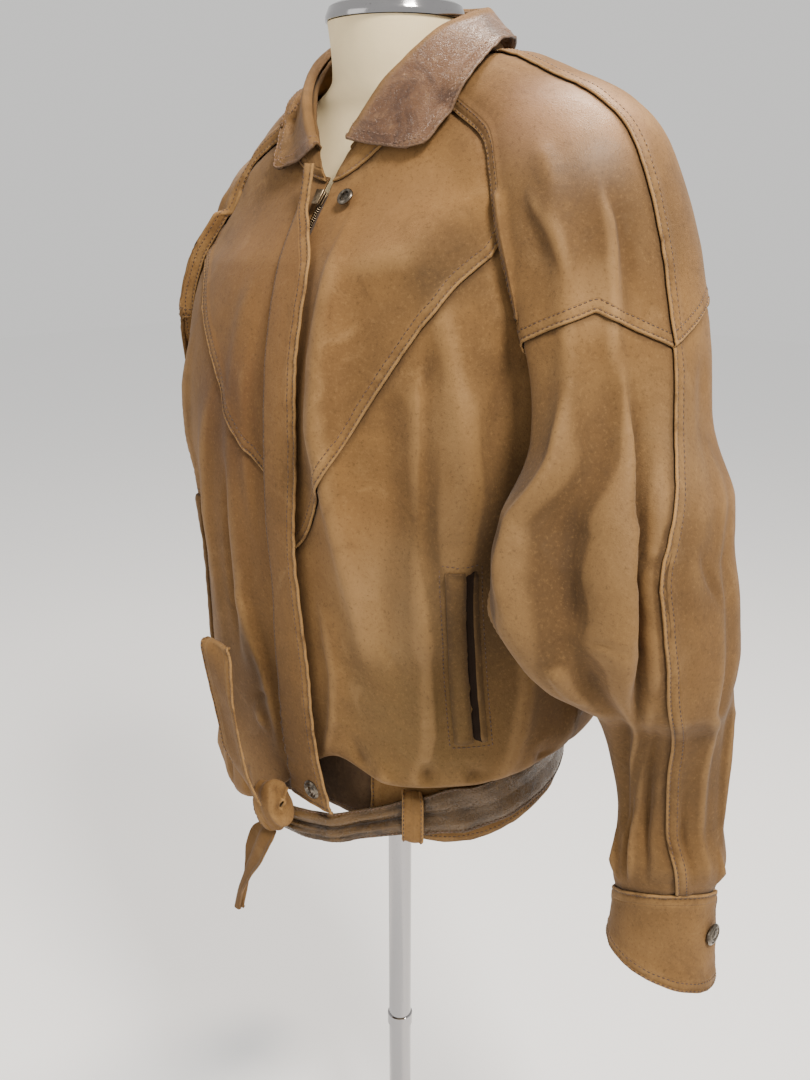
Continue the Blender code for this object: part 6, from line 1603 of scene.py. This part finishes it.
# ---------------------------------------------------------------------------
# Dress form: a smooth limbless torso covered in cream jersey, with a polished
# metal cap on its neck, on a chromed pole and a round black iron base.
# ---------------------------------------------------------------------------
FORM = table("z half_width half_depth centre_y", [
    (0.105, 0.128, 0.100, 0.000), (0.180, 0.122, 0.094, 0.000), (0.260, 0.128, 0.098, 0.000),
    (0.360, 0.150, 0.108, 0.000), (0.440, 0.160, 0.098, 0.006), (0.490, 0.165, 0.080, 0.012),
    (0.520, 0.161, 0.066, 0.012), (0.545, 0.134, 0.056, 0.010), (0.562, 0.090, 0.051, 0.006),
    (0.580, 0.0555, 0.051, 0.003), (0.600, 0.052, 0.0515, 0.000), (0.619, 0.0505, 0.0505, -0.005),
])
jersey, tree, shader, where = material("cream_jersey")
knit = where.node("ShaderNodeTexWave", {"bands_direction": "Z"}, in0=where, Scale=420.0, Distortion=1.2, Detail=2.0)
rib = where.node("ShaderNodeTexWave", {"bands_direction": "X"}, in0=where, Scale=520.0, Distortion=0.8)
stain = speckle(where, 14.0, 5.0, 0.65, 0.8)
tone = ground(tree, (0.80, 0.65, 0.38)).mixed((0.62, 0.47, 0.28), stain.span(0.45, 0.75) * 0.45)
tone = tone.mixed((0.86, 0.78, 0.58), stain.span(0.48, 0.25) * 0.6)
tone = tone.mixed((0.55, 0.44, 0.28), knit * 0.10)
into(shader, Base_Color=tone, Roughness=stain * 0.2 + 0.62)
bumped(shader, knit * 0.6 + rib * 0.4 + stain, 0.25, 0.0004)

FORM_SIDES = 128
z = np.concatenate([np.linspace(a.z, b.z, 9)[:-1] for a, b in zip(FORM, FORM[1:])] + [[FORM[-1].z]])[:, None]
turn = np.linspace(0, 2 * np.pi, FORM_SIDES + 1)[None, :-1]
row = row_at(FORM, z)
x = row["half_width"] * np.sign(np.cos(turn)) * np.abs(np.cos(turn)) ** 0.9
y = row["centre_y"] + row["half_depth"] * np.sin(turn)
points = np.stack(np.broadcast_arrays(x, y, z + HANG), -1)
index = np.arange(points.shape[0] * FORM_SIDES).reshape(-1, FORM_SIDES)
faces = np.stack([index[:-1], np.roll(index[:-1], -1, 1), np.roll(index[1:], -1, 1), index[1:]], -1).reshape(-1, 4)
ends = [index[0, ::-1].tolist(), index[-1].tolist()]
cover = new_piece("form_cover", points.reshape(-1, 3).tolist(), faces.tolist() + ends)
finished(cover, "form_cover", jersey, "form_torso")


def polished(name, colour, roughness, metallic, speck):
    """A smooth hard finish with faint wipe marks and specks of wear."""
    made, tree, shader, where = material(name)
    marks, dust = speckle(where, 30.0, 4.0, 0.6, 1.0), speckle(where, 500.0, 3.0)
    tone = ground(tree, colour).mixed(speck, dust.span(0.62, 0.75) * 0.5)
    into(shader, Base_Color=tone, Roughness=marks.span(0.4, 0.7) * 0.10 + roughness, Metallic=metallic)
    return made


chrome = polished("chrome", (0.36, 0.35, 0.355), 0.10, 1.0, (0.22, 0.21, 0.20))
black_iron = polished("black_iron", (0.030, 0.030, 0.032), 0.38, 0.0, (0.09, 0.085, 0.08))
top = FORM[-1]
spun([(0.0530, 0.0), (0.0532, 0.0010), (0.0530, 0.0036), (0.0524, 0.0052), (0.0505, 0.0098), (0.0480, 0.0112),
      (0.0350, 0.0145), (0.0180, 0.0157), (0.0010, 0.0160)], (0, top.centre_y, top.z + 0.0004 + HANG), (0, 0, 1),
     "polished_neck_cap", "neck_cap", chrome, sides=96)
pole_top, base_top = FORM[0].z + HANG - 0.0004, 0.030
spun([(0.0100, base_top + 0.0004), (0.0110, base_top + 0.0012), (0.0110, 0.24), (0.0124, 0.2405), (0.0124, 0.2520),
      (0.0110, 0.2525), (0.0110, pole_top - 0.0008), (0.0100, pole_top), (0.0010, pole_top)], (0, 0, 0), (0, 0, 1),
     "chromed_pole", "stand_pole", chrome, sides=48)
spun([(0.1480, 0.0), (0.1500, 0.0012), (0.1500, 0.0050), (0.1492, 0.0068), (0.1480, 0.0080), (0.1300, 0.0110),
      (0.0700, 0.0138), (0.0220, 0.0160), (0.0205, 0.0180), (0.0200, 0.0270), (0.0185, 0.0288), (0.0170, base_top),
      (0.0010, base_top)], (0, 0, 0), (0, 0, 1), "iron_base", "stand_base", black_iron, sides=120)


# ---------------------------------------------------------------------------
# The floor, the studio light and the camera.
# ---------------------------------------------------------------------------
bpy.ops.mesh.primitive_plane_add(size=14, location=(0, 0, 0))
floor = bpy.context.object
floor.name = "studio_floor"
pale = bpy.data.materials.new("pale_floor")
pale.use_nodes = True
into(pale.node_tree.nodes["Principled BSDF"], Base_Color=(0.96, 0.96, 0.96, 1.0), Roughness=0.9)
floor.data.materials.append(pale)

world = bpy.data.worlds.new("studio")
world.use_nodes = True
into(world.node_tree.nodes["Background"], Color=(1.0, 0.99, 0.97, 1.0), Strength=0.85)
bpy.context.scene.world = world

LAMPS = table("name spot target size watts colour", [
    ("key", (1.30, -0.45, 2.40), (0.05, 0, 0.95), 0.45, 76, (1.0, 0.94, 0.86)),
    ("fill", (-0.9, -2.2, 1.5), (0, 0, 0.9), 1.4, 9, (1.0, 0.97, 0.93)),
    ("crown", (-0.05, 0.60, 2.45), (0.1, 0, 1.0), 0.4, 42, (1.0, 0.88, 0.76)),
])
for lamp in LAMPS:
    light = bpy.data.lights.new(lamp.name, "AREA")
    light.size, light.energy, light.color = lamp.size, lamp.watts, lamp.colour
    shine = bpy.data.objects.new(lamp.name, light)
    shine.location = lamp.spot
    shine.rotation_euler = (Vector(lamp.target) - Vector(lamp.spot)).to_track_quat("-Z", "Y").to_euler()
    bpy.context.scene.collection.objects.link(shine)

AZIMUTH, DISTANCE, EYE, PITCH = 43.0, 0.90, 0.50, 18.0     # EYE is above the placket's lower edge
camera_data = bpy.data.cameras.new("camera")
camera_data.sensor_fit = "VERTICAL"
camera_data.sensor_height = 36.0
camera_data.lens = 36.0
camera_data.shift_x = 5 / 1080
camera = bpy.data.objects.new("camera", camera_data)
turn = math.radians(AZIMUTH)
camera.location = (DISTANCE * math.sin(turn), -DISTANCE * math.cos(turn), EYE + HANG)
camera.rotation_euler = (math.radians(90 - PITCH), 0, turn)
bpy.context.scene.collection.objects.link(camera)
bpy.context.scene.camera = camera
camera_data.clip_start = 0.02
